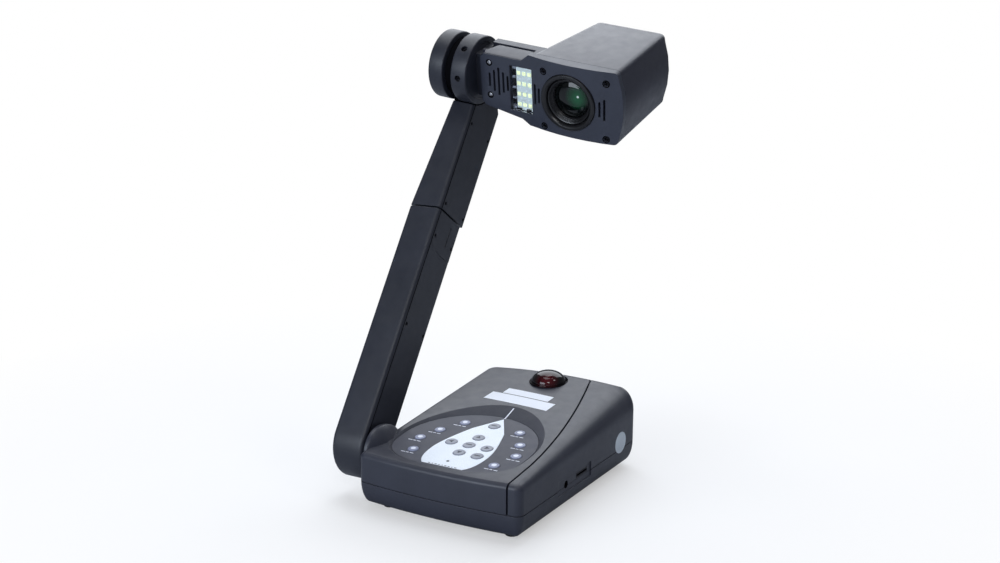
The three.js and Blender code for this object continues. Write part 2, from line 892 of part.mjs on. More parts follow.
function footPlaces() {
  const places = [];
  [foot.insetY, base.depth - foot.insetY - base.bottomInset].forEach((y, row) => {
    [foot.insetX, base.width - foot.insetX].forEach((x, column) => {
      places.push({ name: `${['front', 'rear'][row]}_${['left', 'right'][column]}_foot`, x, y });
    });
  });
  return places;
}

function footSolid(place) {
  const { radius, height, taper } = foot;
  const rows = [[0, 0], [radius - taper, 0], [radius, taper], [radius, height], [0, height]];
  return turned(rows, 'z', smallRoundSides).translate(place.x, place.y, 0);
}

function boardCorners() {
  const left = mainBoard.sideInset + mainBoard.postInset;
  const right = base.width - mainBoard.sideInset - mainBoard.postInset;
  const front = mainBoard.frontInset + mainBoard.postInset;
  const rear = base.depth - mainBoard.rearInset - base.rearCorner / 2;
  return [[left, front], [right, front], [left, rear], [right, rear]];
}

function baseLowerShell() {
  const outer = trayBlock(0, base.floorHeight, base.seamHeight);
  const inner = trayBlock(base.wall, base.floorHeight + base.wall, base.seamHeight + cutOverrun);
  const postFoot = base.floorHeight + base.wall / 2;
  const postTop = mainBoard.height - fitGap;
  const post = ([x, y]) => extrude(circle(mainBoard.postRadius, x, y), 'z', postFoot, postTop);
  const posts = boardCorners().map(post);
  const seats = footPlaces().map((place) => extrude(
    circle(foot.radius + fitGap, place.x, place.y),
    'z',
    base.floorHeight - cutOverrun,
    foot.height + fitGap,
  ));
  return cut(join(outer.subtract(inner), ...posts), sidePortHollow(), ...sidePortHoles(), ...seats);
}

function mainBoardPlate() {
  const outline = roundedOutline(
    mainBoard.sideInset,
    base.width - mainBoard.sideInset,
    mainBoard.frontInset,
    base.depth - mainBoard.rearInset,
    [0, 0, base.rearCorner / 2, base.rearCorner / 2],
  );
  return extrude(outline, 'z', mainBoard.height, mainBoard.height + mainBoard.thickness);
}

function controlOverlay() {
  const sheet = panelSheet(fitGap, 0, panel.overlayThickness);
  return cut(sheet, teardropPrism(-fitGap), ...keyHoles(fitGap, panel.overlayThickness + cutOverrun));
}

function teardropInlay() {
  const sheet = panelSheet(fitGap, 0, panel.overlayThickness);
  const lamp = panelBar(lampPlace, lampDot.radius + fitGap, -cutOverrun, cutOverrun);
  return cut(sheet.intersect(teardropPrism(0)), lamp, ...keyHoles(fitGap, panel.overlayThickness + cutOverrun));
}

function keypadPlate() {
  const keyFoot = key.height - key.proud + key.travel + fitGap;
  const top = Math.max(keyFoot, panel.overlayThickness + base.wall + 2 * fitGap);
  return panelSheet(keypadBoard.inset, top, top + keypadBoard.thickness);
}

function receiverDome() {
  const rows = [[0, -dome.seatDepth + fitGap]];
  const flangeTop = -fitGap;
  rows.push([dome.radius + dome.flange, -dome.seatDepth + fitGap]);
  rows.push([dome.radius + dome.flange, flangeTop]);
  rows.push([dome.radius, flangeTop]);
  const steps = 2 * cornerSteps;
  for (let k = 0; k < steps; k += 1) {
    const angle = (k / steps) * quarterTurn;
    rows.push([dome.radius * Math.cos(angle), dome.height * Math.sin(angle)]);
  }
  rows.push([0, dome.height]);
  return turned(rows, 'z').translate(domeX, domeY, domeHeight);
}

// Sockets on the right side
function audioJack() {
  const outer = base.width - sidePorts.sunk;
  const start = outer - sidePorts.jackDepth;
  const at = [sidePortY('jack'), jackHeight];
  const body = extrude(circle(sidePorts.jackRadius, ...at), 'x', start, outer);
  const bore = extrude(circle(sidePorts.jackBore, ...at), 'x', start + base.wall, base.width);
  return cut(body, bore);
}

function cardSocket() {
  const outer = base.width - sidePorts.sunk;
  const start = outer - sidePorts.cardDepth;
  const y = sidePortY('card');
  const block = (width, height, from, to) => {
    const [half, rise] = [width / 2, height / 2];
    return box(from, to, y - half, y + half, cardHeight - rise, cardHeight + rise);
  };
  const slot = block(sidePorts.cardSlotWidth, sidePorts.cardSlotHeight, start + base.wall, base.width);
  return cut(block(sidePorts.cardWidth, sidePorts.cardHeight, start, outer), slot);
}

// Sockets at the rear
const rearFace = base.depth - fitGap;

// Widths of the sockets from the left, which stand with even gaps between them
const rearPortWidths = {
  inlet: 2 * rearPorts.roundRadius,
  usb: rearPorts.usbWidth,
  screen: rearPorts.screenWidth,
  video: 2 * rearPorts.roundRadius,
};

function rearPortX(name) {
  const widths = Object.values(rearPortWidths);
  const place = Object.keys(rearPortWidths).indexOf(name);
  const total = widths.reduce((sum, width) => sum + width, 0);
  const gap = (rearPortEnd - rearPortStart - total) / (widths.length + 1);
  const before = widths.slice(0, place).reduce((sum, width) => sum + width + gap, gap);
  return rearPortStart + before + widths[place] / 2;
}

function socketBlock(name, width, height, from, to) {
  const x = rearPortX(name);
  const [half, rise] = [width / 2, height / 2];
  return box(x - half, x + half, from, to, rearPortMiddle - rise, rearPortMiddle + rise);
}

function socketRound(name, radius, from, to) {
  return extrude(circle(radius, rearPortMiddle, rearPortX(name)), 'y', from, to);
}

function rearPortPlate() {
  const front = rearFace - rearPorts.plateThickness;
  const plate = rearPortWindow(fitGap).intersect(box(0, base.width, front, rearFace, 0, highest));
  const far = base.depth + cutOverrun;
  const near = front - cutOverrun;
  const play = 2 * fitGap;
  return cut(
    plate,
    socketRound('inlet', rearPorts.roundRadius + fitGap, near, far),
    socketBlock('usb', rearPorts.usbWidth + play, rearPorts.usbHeight + play, near, far),
    socketBlock('screen', rearPorts.screenShellWidth + play, rearPorts.screenShellHeight + play, near, far),
    socketRound('video', rearPorts.videoCollar + fitGap, near, far),
  );
}

function powerInlet() {
  const start = rearFace - rearPorts.bodyDepth;
  const body = socketRound('inlet', rearPorts.roundRadius, start, rearFace);
  const bore = socketRound('inlet', rearPorts.inletBore, start + base.wall, base.depth);
  const pin = socketRound('inlet', rearPorts.inletPin, start + base.wall / 2, rearFace - base.wall);
  return join(cut(body, bore), pin);
}

function usbSocket() {
  const start = rearFace - rearPorts.bodyDepth;
  const body = socketBlock('usb', rearPorts.usbWidth, rearPorts.usbHeight, start, rearFace);
  const floor = start + base.wall;
  const mouth = socketBlock('usb', rearPorts.usbMouthWidth, rearPorts.usbMouthHeight, floor, base.depth);
  const [root, tip] = [start + base.wall / 2, rearFace - base.wall];
  const tongue = socketBlock('usb', rearPorts.usbTongueWidth, rearPorts.usbTongueHeight, root, tip);
  return join(cut(body, mouth), tongue);
}

function screenSocket() {
  const back = rearFace - rearPorts.plateThickness - fitGap;
  const front = back - rearPorts.bodyDepth;
  const body = socketBlock('screen', rearPorts.screenWidth, rearPorts.screenHeight, front, back);
  const [root, tip] = [back - base.wall, back + rearPorts.screenShellDepth];
  const shell = socketBlock('screen', rearPorts.screenShellWidth, rearPorts.screenShellHeight, root, tip);
  return join(body, shell);
}

function videoSocket() {
  const back = rearFace - rearPorts.plateThickness - fitGap;
  const body = socketRound('video', rearPorts.roundRadius, back - rearPorts.bodyDepth, back);
  const [root, tip] = [back - base.wall, back + rearPorts.videoCollarDepth];
  const collar = socketRound('video', rearPorts.videoCollar, root, tip);
  const bore = socketRound('video', rearPorts.videoBore, root, tip + cutOverrun);
  return cut(join(body, collar), bore);
}

// Pivot pieces, drawn about the pivot axis
function pivotBush() {
  const bore = pivot.shaftRadius + fitGap;
  const rows = ringRows(pivot.bushRadius, bore, -pivot.housingProud, pivot.bushLength - fitGap);
  return turned(rows, 'x', smallRoundSides).translate(0, pivot.setback, pivotHeight);
}

// Shaft of the pivot with the square block that holds it inside the arm
function pivotShaft() {
  const end = pivot.bushLength - 2 * fitGap;
  const right = -arm.sideGap - arm.wall - fitGap;
  const half = pivot.blockHalf;
  const left = armLeft + arm.wall + pivot.blockSpare;
  const block = box(left, right, -half, half, -half, half);
  const middle = (left + right) / 2;
  const rows = [[0, middle], [pivot.shaftRadius, middle], [pivot.shaftRadius, end], [0, end]];
  return join(block, turned(rows, 'x', smallRoundSides));
}

function pivotWasher() {
  const middle = -(arm.sideGap + pivot.housingProud) / 2;
  const half = pivot.washerThickness / 2;
  const bore = pivot.shaftRadius + fitGap;
  return turned(ringRows(pivot.washerRadius, bore, middle - half, middle + half), 'x');
}

// Arm beams, drawn with Z along the arm from the pivot and Y to the rear
const armRight = -arm.sideGap;
const armLeft = armRight - arm.width;
const armFront = -arm.depth / 2;
const armRear = arm.depth / 2;
const armMiddleX = (armLeft + armRight) / 2;
const coverEdge = armFront + arm.coverDepth;

// A beam drawn along Z with rounded edges, whose left side leans in towards the given width at the top
function beamSection(inset, topWidth, rear, from, to) {
  const outline = roundedOutline(armLeft + inset, armRight - inset, armFront + inset, rear - inset, [
    Math.max(arm.edgeRadius - inset, 0),
    Math.max(arm.edgeRadius - inset, 0),
    Math.max(arm.rearEdgeRadius - inset, 0),
    Math.max(arm.rearEdgeRadius - inset, 0),
  ]);
  const section = outline.extractPoints(cornerSteps).shape;
  const slim = (arm.width - topWidth) / (arm.width - 2 * inset);
  const ring = (height, share) => section.map((p) => {
    const aside = (armRight - inset - p.x) * slim * share;
    return new THREE.Vector3(p.x + aside, p.y, height);
  });
  return loft([ring(from, 0), ring(to, 1)]);
}

function lowerBeamBlock(inset) {
  const bottom = -arm.footLength + inset;
  const top = arm.lowerLength;
  const front = Math.max(arm.footFrontRadius - inset, inset);
  const rear = Math.max(arm.footRearRadius - inset, inset);
  const side = roundedOutline(armFront + inset, armRear - inset, bottom, top, [front, rear, 0, 0]);
  const blank = extrude(side, 'x', armLeft + inset, armRight - inset);
  return blank.intersect(beamSection(inset, arm.width, armRear, bottom, top));
}

function screwHole(y, z) {
  const outline = circle(arm.screwRadius, y, z, keySides / 2);
  return extrude(outline, 'x', armRight - arm.screwDepth, armRight + cutOverrun);
}

function sideScrews(heights, rear) {
  const places = [armFront + arm.screwFromFront, rear - arm.screwFromRear];
  return heights.flatMap((z) => places.map((y) => screwHole(y, z)));
}

// Cross ribs inside a beam that stiffen the shell behind the front cover
function beamRibs(from, to, rear) {
  const ribs = [];
  const root = arm.wall / 2;
  const inner = rear - arm.wall;
  for (let z = from; z + arm.ribWidth < to; z += arm.ribPitch) {
    ribs.push(box(armLeft + root, armRight - root, inner - arm.ribHeight, inner + root, z, z + arm.ribWidth));
  }
  return ribs;
}

const blockStart = arm.lowerLength - arm.endBlockLength;

function endBlockCut(offset) {
  const start = blockStart + offset;
  const front = coverEdge - cutOverrun;
  const rear = armRear + cutOverrun;
  const outline = new THREE.Shape();
  outline.moveTo(front, start + arm.endBlockBow);
  outline.quadraticCurveTo(0, start - arm.endBlockBow, rear, start);
  outline.lineTo(rear, arm.lowerLength + cutOverrun);
  outline.lineTo(front, arm.lowerLength + cutOverrun);
  return extrude(outline, 'x', armLeft - cutOverrun, armRight + cutOverrun);
}

// Everything in a beam that lies behind its front cover
function behindCover(offset) {
  const front = coverEdge + offset;
  const rear = armRear + arm.upperRearStep + cutOverrun;
  const top = Math.max(arm.lowerLength, arm.upperLength) + cutOverrun;
  return box(armLeft - cutOverrun, armRight + cutOverrun, front, rear, -arm.footLength - cutOverrun, top);
}

function beamHollow() {
  const hollow = lowerBeamBlock(arm.wall);
  const end = arm.lowerLength - arm.endWall;
  return hollow.intersect(box(armLeft, armRight, armFront, armRear, -arm.footLength, end));
}

function lowerArmShell() {
  const keep = behindCover(arm.coverSeam);
  const body = lowerBeamBlock(0).subtract(beamHollow()).intersect(keep);
  const ribs = beamRibs(2 * pivot.blockHalf, blockStart - arm.ribPitch / 2, armRear);
  const shaft = extrude(circle(pivot.shaftRadius + fitGap), 'x', armRight - arm.wall - cutOverrun, 0);
  const ribbed = join(body.subtract(endBlockCut(0)), ...ribs.map((rib) => rib.intersect(keep)));
  return cut(ribbed, shaft, ...sideScrews([arm.lowerLength / 2], armRear));
}

function lowerArmCover() {
  const front = lowerBeamBlock(0).subtract(behindCover(0));
  const lipEdge = coverEdge + arm.coverLip;
  const keep = box(armLeft, armRight, armFront, lipEdge, -arm.footLength, blockStart);
  const lip = lowerBeamBlock(arm.wall + fitGap).intersect(keep);
  const hollow = lowerBeamBlock(2 * arm.wall + fitGap).intersect(behindCover(arm.wall - arm.coverDepth));
  return cut(join(front, lip), hollow);
}

function lowerArmEndBlock() {
  const body = lowerBeamBlock(0).subtract(beamHollow()).intersect(behindCover(arm.coverSeam));
  const bore = circle(swivel.tubeRadius + fitGap, armMiddleX, 0);
  const tube = extrude(bore, 'z', blockStart, arm.lowerLength + cutOverrun);
  const [low, high] = [blockStart + arm.keeperStart, blockStart + arm.keeperStart + arm.keeperLength];
  const rear = arm.screwFromFront;
  const front = rear - arm.keeperWidth;
  const keeper = box(armRight - arm.keeperDepth, armRight + cutOverrun, front, rear, low, high);
  const screws = sideScrews([arm.lowerLength - arm.screwFromElbow], armRear);
  return cut(body.intersect(endBlockCut(arm.endBlockGap)), tube, keeper, ...screws);
}

// Upper beam, drawn from the middle of the elbow gap. It reaches a little further to the rear.
const upperRear = armRear + arm.upperRearStep;

function upperBeamBlock(inset) {
  const bottom = arm.elbowGap / 2;
  const side = new THREE.Shape();
  side.moveTo(armFront + inset, bottom);
  side.lineTo(upperRear - inset, bottom);
  side.lineTo(upperRear - inset, arm.upperLength - arm.topSlope - inset);
  side.lineTo(upperRear - arm.topSlope, arm.upperLength - inset);
  side.lineTo(armFront + inset, arm.upperLength - inset);
  const wide = extrude(side, 'x', armLeft, armRight);
  const top = arm.upperLength + arm.elbowGap;
  return wide.intersect(beamSection(inset, arm.upperTopWidth, upperRear, bottom, top));
}

function upperHollow() {
  const start = arm.elbowGap / 2 + arm.endWall;
  const keep = box(armLeft, armRight, armFront, upperRear, start, arm.upperLength);
  return upperBeamBlock(arm.wall).intersect(keep);
}

// Places of the hinge in the upper beam's own frame
const levelTurn = new THREE.Euler(THREE.MathUtils.degToRad(arm.leanAngle), 0, 0);
const droopTurn = new THREE.Euler(0, THREE.MathUtils.degToRad(hinge.droopAngle), 0);
const hingePlace = new THREE.Vector3(
  armMiddleX + hinge.rightOfMiddle,
  -hinge.forward,
  arm.upperLength + hinge.overArmTop,
);

function placed(shape, turn, place) {
  const matrix = new THREE.Matrix4().makeRotationFromEuler(turn);
  matrix.setPosition(place);
  return shape.transform(matrix.elements);
}

function toUpperArm(shape) {
  return placed(placed(shape, droopTurn, new THREE.Vector3()), levelTurn, hingePlace);
}

// The knob, the tongue and the hub stand side by side along the hinge axis
const tongueLeft = hinge.tongueMiddle - hinge.tongueThickness / 2;
const tongueRight = hinge.tongueMiddle + hinge.tongueThickness / 2;
const knobEnd = tongueLeft - hinge.tongueGap;
const knobStart = knobEnd - hinge.knobLength;
const hubStart = tongueRight + hinge.tongueGap;
const hubEnd = hubStart + hinge.hubLength;
const neckStart = hubEnd + hinge.collarLength;

// Room that the hinge needs to turn in the top of the arm
function hingeSweep() {
  const start = knobStart - hinge.sweepGap;
  const end = neckStart + hinge.sweepGap;
  const radius = hinge.radius + hinge.sweepGap;
  return toUpperArm(turned([[0, start], [radius, start], [radius, end], [0, end]], 'x'));
}

// Tongue of the hinge: a round cheek with a stem down into the beam
function tongueShape(grown) {
  const left = tongueLeft - grown;
  const right = tongueRight + grown;
  const cheek = extrude(circle(hinge.tongueRadius + grown, 0, 0, roundSides), 'x', left, right);
  const half = hinge.tongueStemHalf + grown;
  const stem = box(left, right, -half, half, -hinge.tongueStemLength - grown, 0);
  const angle = Math.atan2(hinge.forward, hinge.tongueRadius) - THREE.MathUtils.degToRad(arm.leanAngle);
  return join(cheek, placed(stem, new THREE.Euler(angle, 0, 0), new THREE.Vector3()));
}

function upperArmShell() {
  const body = upperBeamBlock(0).subtract(upperHollow()).intersect(behindCover(arm.coverSeam));
  const ribs = beamRibs(arm.ribPitch, arm.upperLength - arm.ribPitch, upperRear);
  const block = upperBeamBlock(arm.wall / 2);
  const ribbed = join(body, ...ribs.map((rib) => rib.intersect(block)));
  const bore = circle(swivel.tubeRadius + fitGap, armMiddleX, 0);
  const tube = extrude(bore, 'z', 0, arm.endWall + arm.elbowGap);
  const screws = sideScrews([arm.screwOverElbow, arm.upperLength - arm.screwFromTop], upperRear);
  return cut(ribbed, tube, hingeSweep(), toUpperArm(tongueShape(fitGap)), ...screws);
}

function upperArmCover() {
  const front = upperBeamBlock(0).subtract(behindCover(0));
  const lipEdge = coverEdge + arm.coverLip;
  const keep = box(armLeft, armRight, armFront, lipEdge, arm.endWall + arm.elbowGap, arm.upperLength);
  const lip = upperBeamBlock(arm.wall + fitGap).intersect(keep);
  const hollow = upperBeamBlock(2 * arm.wall + fitGap).intersect(behindCover(arm.wall - arm.coverDepth));
  return cut(join(front, lip), hollow, hingeSweep(), toUpperArm(tongueShape(fitGap)));
}

function swivelShaft() {
  const gap = arm.elbowGap / 2;
  const inner = gap + arm.endWall + fitGap;
  const low = -swivel.reach;
  const high = inner + swivel.flangeThickness;
  const rows = [
    [swivel.tubeBore, low],
    [swivel.tubeRadius, low],
    [swivel.tubeRadius, inner],
    [swivel.flangeRadius, inner],
    [swivel.flangeRadius, high],
    [swivel.tubeBore, high],
    [swivel.tubeBore, low],
  ];
  return turned(rows, 'z', smallRoundSides).translate(armMiddleX, 0, 0);
}

function swivelWasher() {
  const half = arm.elbowGap / 2 - fitGap;
  const rows = ringRows(swivel.washerRadius, swivel.tubeRadius + fitGap, -half, half);
  return turned(rows, 'z').translate(armMiddleX, 0, 0);
}

function swivelNut() {
  const top = -arm.elbowGap / 2 - arm.endWall - fitGap;
  const outline = circle(swivel.nutRadius, armMiddleX, 0, nutSides);
  const nut = extrude(outline, 'z', top - swivel.nutThickness, top);
  const bore = circle(swivel.tubeRadius + fitGap, armMiddleX, 0);
  return cut(nut, extrude(bore, 'z', top - swivel.nutThickness - cutOverrun, 0));
}

// Hinge pieces of the head, drawn about the hinge axis
function hingeDisc(start, end) {
  const { radius, rimRound } = hinge;
  return turned([
    [0, start],
    [radius - rimRound, start],
    [radius, start + rimRound],
    [radius, end - rimRound],
    [radius - rimRound, end],
    [0, end],
  ], 'x');
}

const pinHeadStart = knobStart + hinge.pinHeadSink;
const pinHeadEnd = pinHeadStart + hinge.pinHeadSink;

function hingeKnob() {
  const bore = extrude(circle(hinge.pinRadius + fitGap), 'x', knobStart, knobEnd + cutOverrun);
  const sink = extrude(circle(hinge.pinHeadRadius + fitGap), 'x', knobStart - cutOverrun, pinHeadEnd);
  return cut(hingeDisc(knobStart, knobEnd), bore, sink);
}

function hingeHub() {
  const half = hinge.collarHalfHeight;
  const root = hubEnd - hinge.rimRound;
  const collar = box(root, neckStart - fitGap, -hinge.collarFront, hinge.collarRear, -half, half);
  const middle = (hubStart + hubEnd) / 2;
  const rim = hinge.radius;
  const dimples = hinge.dimpleAngles.map((angle) => {
    const outline = circle(hinge.dimpleRadius, 0, middle, keySides / 2);
    const hole = extrude(outline, 'y', -rim - cutOverrun, hinge.dimpleDepth - rim);
    return placed(hole, new THREE.Euler(THREE.MathUtils.degToRad(angle), 0, 0), new THREE.Vector3());
  });
  const bore = extrude(circle(hinge.pinRadius + fitGap), 'x', hubStart - cutOverrun, root);
  return cut(join(hingeDisc(hubStart, hubEnd), collar), bore, ...dimples);
}

function hingePin() {
  const neck = pinHeadEnd - fitGap;
  const end = hubEnd - hinge.rimRound - fitGap;
  return turned([
    [0, pinHeadStart],
    [hinge.pinHeadRadius, pinHeadStart],
    [hinge.pinHeadRadius, neck],
    [hinge.pinRadius, neck],
    [hinge.pinRadius, end],
    [0, end],
  ], 'x', smallRoundSides);
}

function hingeTongue() {
  const [from, to] = [tongueLeft - cutOverrun, tongueRight + cutOverrun];
  const bore = extrude(circle(hinge.pinRadius + fitGap), 'x', from, to);
  return cut(tongueShape(0), bore);
}

// Places that the head's sizes give
const headEnd = head.start + head.width;
const headMiddleZ = (head.top + head.bottom) / 2;
const headHalfHeight = (head.top - head.bottom) / 2;
const stepStart = head.start - head.stepSetback;
const lensX = head.start + lens.fromStart;
const lensZ = headMiddleZ - lens.underMiddle;
const bezelOuter = headHalfHeight * bezelShare;
const bezelInner = bezelOuter - lens.bezelWidth;
const tubeOuter = bezelInner - lens.tubeGap;
const tubeStep = tubeOuter - lens.stepWidth;
const tubeBore = tubeStep - lens.seatWidth;
const ledWindowEnd = head.start + ledWindow.overlap;
const ledWindowStart = ledWindowEnd - ledWindow.width;
const faceReach = head.faceFront + head.faceBow + cutOverrun;

// Face of the head: one moulded plate from the neck to the far side, bowed towards the lens
function facePlateOutline() {
  const outline = new THREE.Shape();
  const { corner, neckCorner, neckTop, neckBottomStart, neckBottomEnd } = head;
  const bulge = headEnd + 2 * head.sideBow;
  const stepEnd = stepStart + head.stepLength;
  outline.moveTo(neckBottomStart, neckStart + neckCorner);
  outline.lineTo(neckBottomEnd, stepStart);
  outline.lineTo(head.bottom, stepEnd);
  outline.lineTo(head.bottom, headEnd - corner);
  outline.quadraticCurveTo(head.bottom, headEnd, head.bottom + corner, headEnd);
  outline.quadraticCurveTo(headMiddleZ, bulge, head.top - corner, headEnd);
  outline.quadraticCurveTo(head.top, headEnd, head.top, headEnd - corner);
  outline.lineTo(head.top, stepEnd);
  outline.lineTo(neckTop, stepStart);
  outline.lineTo(neckTop, neckStart + neckCorner);
  outline.lineTo(neckTop - neckCorner, neckStart);
  outline.lineTo(neckBottomStart + neckCorner, neckStart);
  return outline;
}

// The face runs flat along the neck and bows towards the front over the head
function faceSkin(front, back) {
  const outline = new THREE.Shape();
  const middle = (head.start + headEnd) / 2;
  const farEnd = headEnd + 2 * head.sideBow;
  outline.moveTo(0, -front);
  outline.lineTo(head.start, -front);
  outline.quadraticCurveTo(middle, -front - 2 * head.faceBow, headEnd, -front);
  outline.lineTo(farEnd, -front);
  outline.lineTo(farEnd, -back);
  outline.lineTo(0, -back);
  return extrude(outline, 'z', head.bottom - cutOverrun, head.top + cutOverrun);
}

// Vent slots: the place of each along the head, with its middle and half height
function ventSlots() {
  const neck = neckSlotShares.map((share, i) => ({
    x: neckStart + slots.neckInset + i * slots.neckPitch,
    middle: slots.neckMiddle,
    half: share * longestNeckSlot,
  }));
  const beside = [-1, 1].flatMap((side) => [
    { x: lensX + side * slots.lensAside, middle: slots.lensMiddle, half: slots.innerHalf },
    { x: lensX + side * (slots.lensAside + slots.lensPitch), middle: slots.lensMiddle, half: slots.outerHalf },
  ]);
  return [...neck, ...beside];
}

function slotCut({ x, middle, half }) {
  const halfWidth = slots.width / 2;
  const corner = halfWidth * slotCornerShare;
  const corners = [corner, corner, corner, corner];
  const outline = roundedOutline(middle - half, middle + half, x - halfWidth, x + halfWidth, corners);
  return extrude(outline, 'y', -faceReach, 0, slotSteps);
}

function faceScrews() {
  const places = [];
  [head.start + head.screwStartInset, headEnd - head.screwEndInset].forEach((x) => {
    [head.bottom + head.screwBottomInset, head.top - head.screwTopInset].forEach((z) => places.push([x, z]));
  });
  [head.neckScrewHigh, head.neckScrewLow].forEach((z) => places.push([neckStart + slots.neckInset, z]));
  return places;
}

function facePlate() {
  const front = head.faceFront;
  const back = front - head.faceThickness;
  const plate = extrude(facePlateOutline(), 'y', -faceReach, 0).intersect(faceSkin(front, back));
  const opening = extrude(circle(bezelOuter + fitGap, lensZ, lensX, eggSides), 'y', -faceReach, 0);
  const led = box(ledWindowStart, ledWindowEnd, -faceReach, 0, ledWindow.bottom, ledWindow.top);
  const screws = faceScrews().map(([x, z]) => {
    const outline = circle(head.screwRadius, z, x, keySides / 2);
    return extrude(outline, 'y', -faceReach, head.screwDepth - front);
  });
  return cut(plate, opening, led, ...ventSlots().map(slotCut), ...screws);
}

// Rear cover of the neck, between the hinge hub and the shell, with a valley along its top
const shellFront = -head.faceFront + head.faceThickness + head.shellGap;
const shellRear = head.depth - head.faceFront;

function neckRearCover() {
  const end = head.start - head.shellGap;
  const valley = head.neckRearTop - head.grooveDepth;
  const block = box(neckStart, end, shellFront, head.neckRear, head.neckRearBottom, head.neckRearTop);
  const hollow = box(
    neckStart + head.wall,
    end + cutOverrun,
    shellFront - cutOverrun,
    head.neckRear - head.wall,
    head.neckRearBottom + head.wall,
    valley - head.wall,
  );
  const groove = box(
    neckStart - cutOverrun,
    end - head.grooveEndInset,
    shellFront + head.wall,
    head.grooveRear,
    valley,
    head.neckRearTop + cutOverrun,
  );
  return cut(block, hollow, groove);
}

// Shell of the head: a box that tapers to the rear, with a bowed outer side and rounded edges
function headRing(y, inset, shrink, startX) {
  const outline = new THREE.Shape();
  const start = startX + inset + shrink;
  const end = headEnd - inset - shrink;
  const top = head.top - inset - shrink;
  const bottom = head.bottom + inset + shrink;
  const corner = Math.max(head.corner - inset, head.wall);
  outline.moveTo(start + corner, bottom);
  outline.lineTo(end - corner, bottom);
  outline.quadraticCurveTo(end, bottom, end, bottom + corner);
  outline.quadraticCurveTo(end + 2 * head.sideBow, headMiddleZ, end, top - corner);
  outline.quadraticCurveTo(end, top, end - corner, top);
  outline.lineTo(start + corner, top);
  outline.quadraticCurveTo(start, top, start, top - corner);
  outline.lineTo(start, bottom + corner);
  outline.quadraticCurveTo(start, bottom, start + corner, bottom);
  const points = outline.extractPoints(cornerSteps).shape;
  return points.map((p) => new THREE.Vector3(p.x, y, p.y));
}

function headBlock(inset, frontY, rearY) {
  const startAt = (y) => head.start + (head.rearTaper * (y - frontY)) / (rearY - frontY);
  const fillet = Math.max(head.rearFillet - inset, head.wall);
  const rings = [headRing(frontY, inset, 0, head.start)];
  for (let k = 0; k <= cornerSteps; k += 1) {
    const angle = (k / cornerSteps) * quarterTurn;
    const y = rearY - fillet * (1 - Math.sin(angle));
    rings.push(headRing(y, inset, fillet * (1 - Math.cos(angle)), startAt(y)));
  }
  return loft(rings);
}

function headShell() {
  const outer = headBlock(0, shellFront, shellRear);
  const inner = headBlock(head.wall, shellFront - cutOverrun, shellRear - head.wall);
  const neckDoor = box(
    head.start - cutOverrun,
    head.start + head.rearTaper,
    shellFront - cutOverrun,
    head.neckRear - head.wall,
    head.neckRearBottom + head.wall,
    head.neckRearTop - head.wall,
  );
  return cut(outer, inner, neckDoor);
}

// Lens pieces, drawn about the lens axis with the face at its highest point
const lensFace = -head.faceFront - head.faceBow;

function lensPlaced(rows, sides = roundSides) {
  return turned(rows, 'y', sides).translate(lensX, lensFace, lensZ);
}

function lensBezel() {
  const front = -lens.bezelProud;
  const rim = lens.bezelProud;
  return lensPlaced([
    [bezelInner, lens.bezelDepth],
    [bezelInner, front + 2 * rim],
    [bezelInner + rim, front],
    [bezelOuter - rim, front],
    [bezelOuter, front + rim],
    [bezelOuter, lens.bezelDepth],
    [bezelInner, lens.bezelDepth],
  ]);
}

function lensTube() {
  const step = lens.glassSunk - lens.glassBulge - fitGap;
  const seat = lens.glassSunk + lens.glassThickness + fitGap;
  return lensPlaced([
    [tubeBore, lens.tubeLength],
    [tubeBore, seat],
    [tubeStep, seat],
    [tubeStep, step],
    [tubeOuter - head.wall, lens.tubeSunk],
    [tubeOuter, lens.tubeSunk],
    [tubeOuter, lens.tubeLength],
    [tubeBore, lens.tubeLength],
  ]);
}

function lensGlass() {
  const radius = tubeStep - fitGap;
  const back = lens.glassSunk + lens.glassThickness;
  const rows = [[0, back], [radius, back], [radius, lens.glassSunk]];
  for (let k = 1; k < cornerSteps; k += 1) {
    const share = k / cornerSteps;
    rows.push([radius * (1 - share), lens.glassSunk - lens.glassBulge * (1 - (1 - share) ** 2)]);
  }
  rows.push([0, lens.glassSunk - lens.glassBulge]);
  return lensPlaced(rows);
}

// A block about the lens axis, a distance behind the lens tube
function behindTube(width, height, start, length) {
  const front = lensFace + lens.tubeLength + fitGap + start;
  const [half, rise] = [width / 2, height / 2];
  return box(lensX - half, lensX + half, front, front + length, lensZ - rise, lensZ + rise);
}

function zoomModule() {
  return behindTube(zoomBlock.width, zoomBlock.height, 0, zoomBlock.length);
}

function cameraBoardPlate() {
  const start = zoomBlock.length + fitGap;
  return behindTube(cameraBoard.width, cameraBoard.height, start, cameraBoard.thickness);
}

// Lamp: a clear window in the face with a board of lamps behind it
function ledWindowPane() {
  const front = -head.faceFront + fitGap;
  const [start, end] = [ledWindowStart + fitGap, ledWindowEnd - fitGap];
  const [low, high] = [ledWindow.bottom + fitGap, ledWindow.top - fitGap];
  return box(start, end, front, front + ledWindow.thickness, low, high);
}

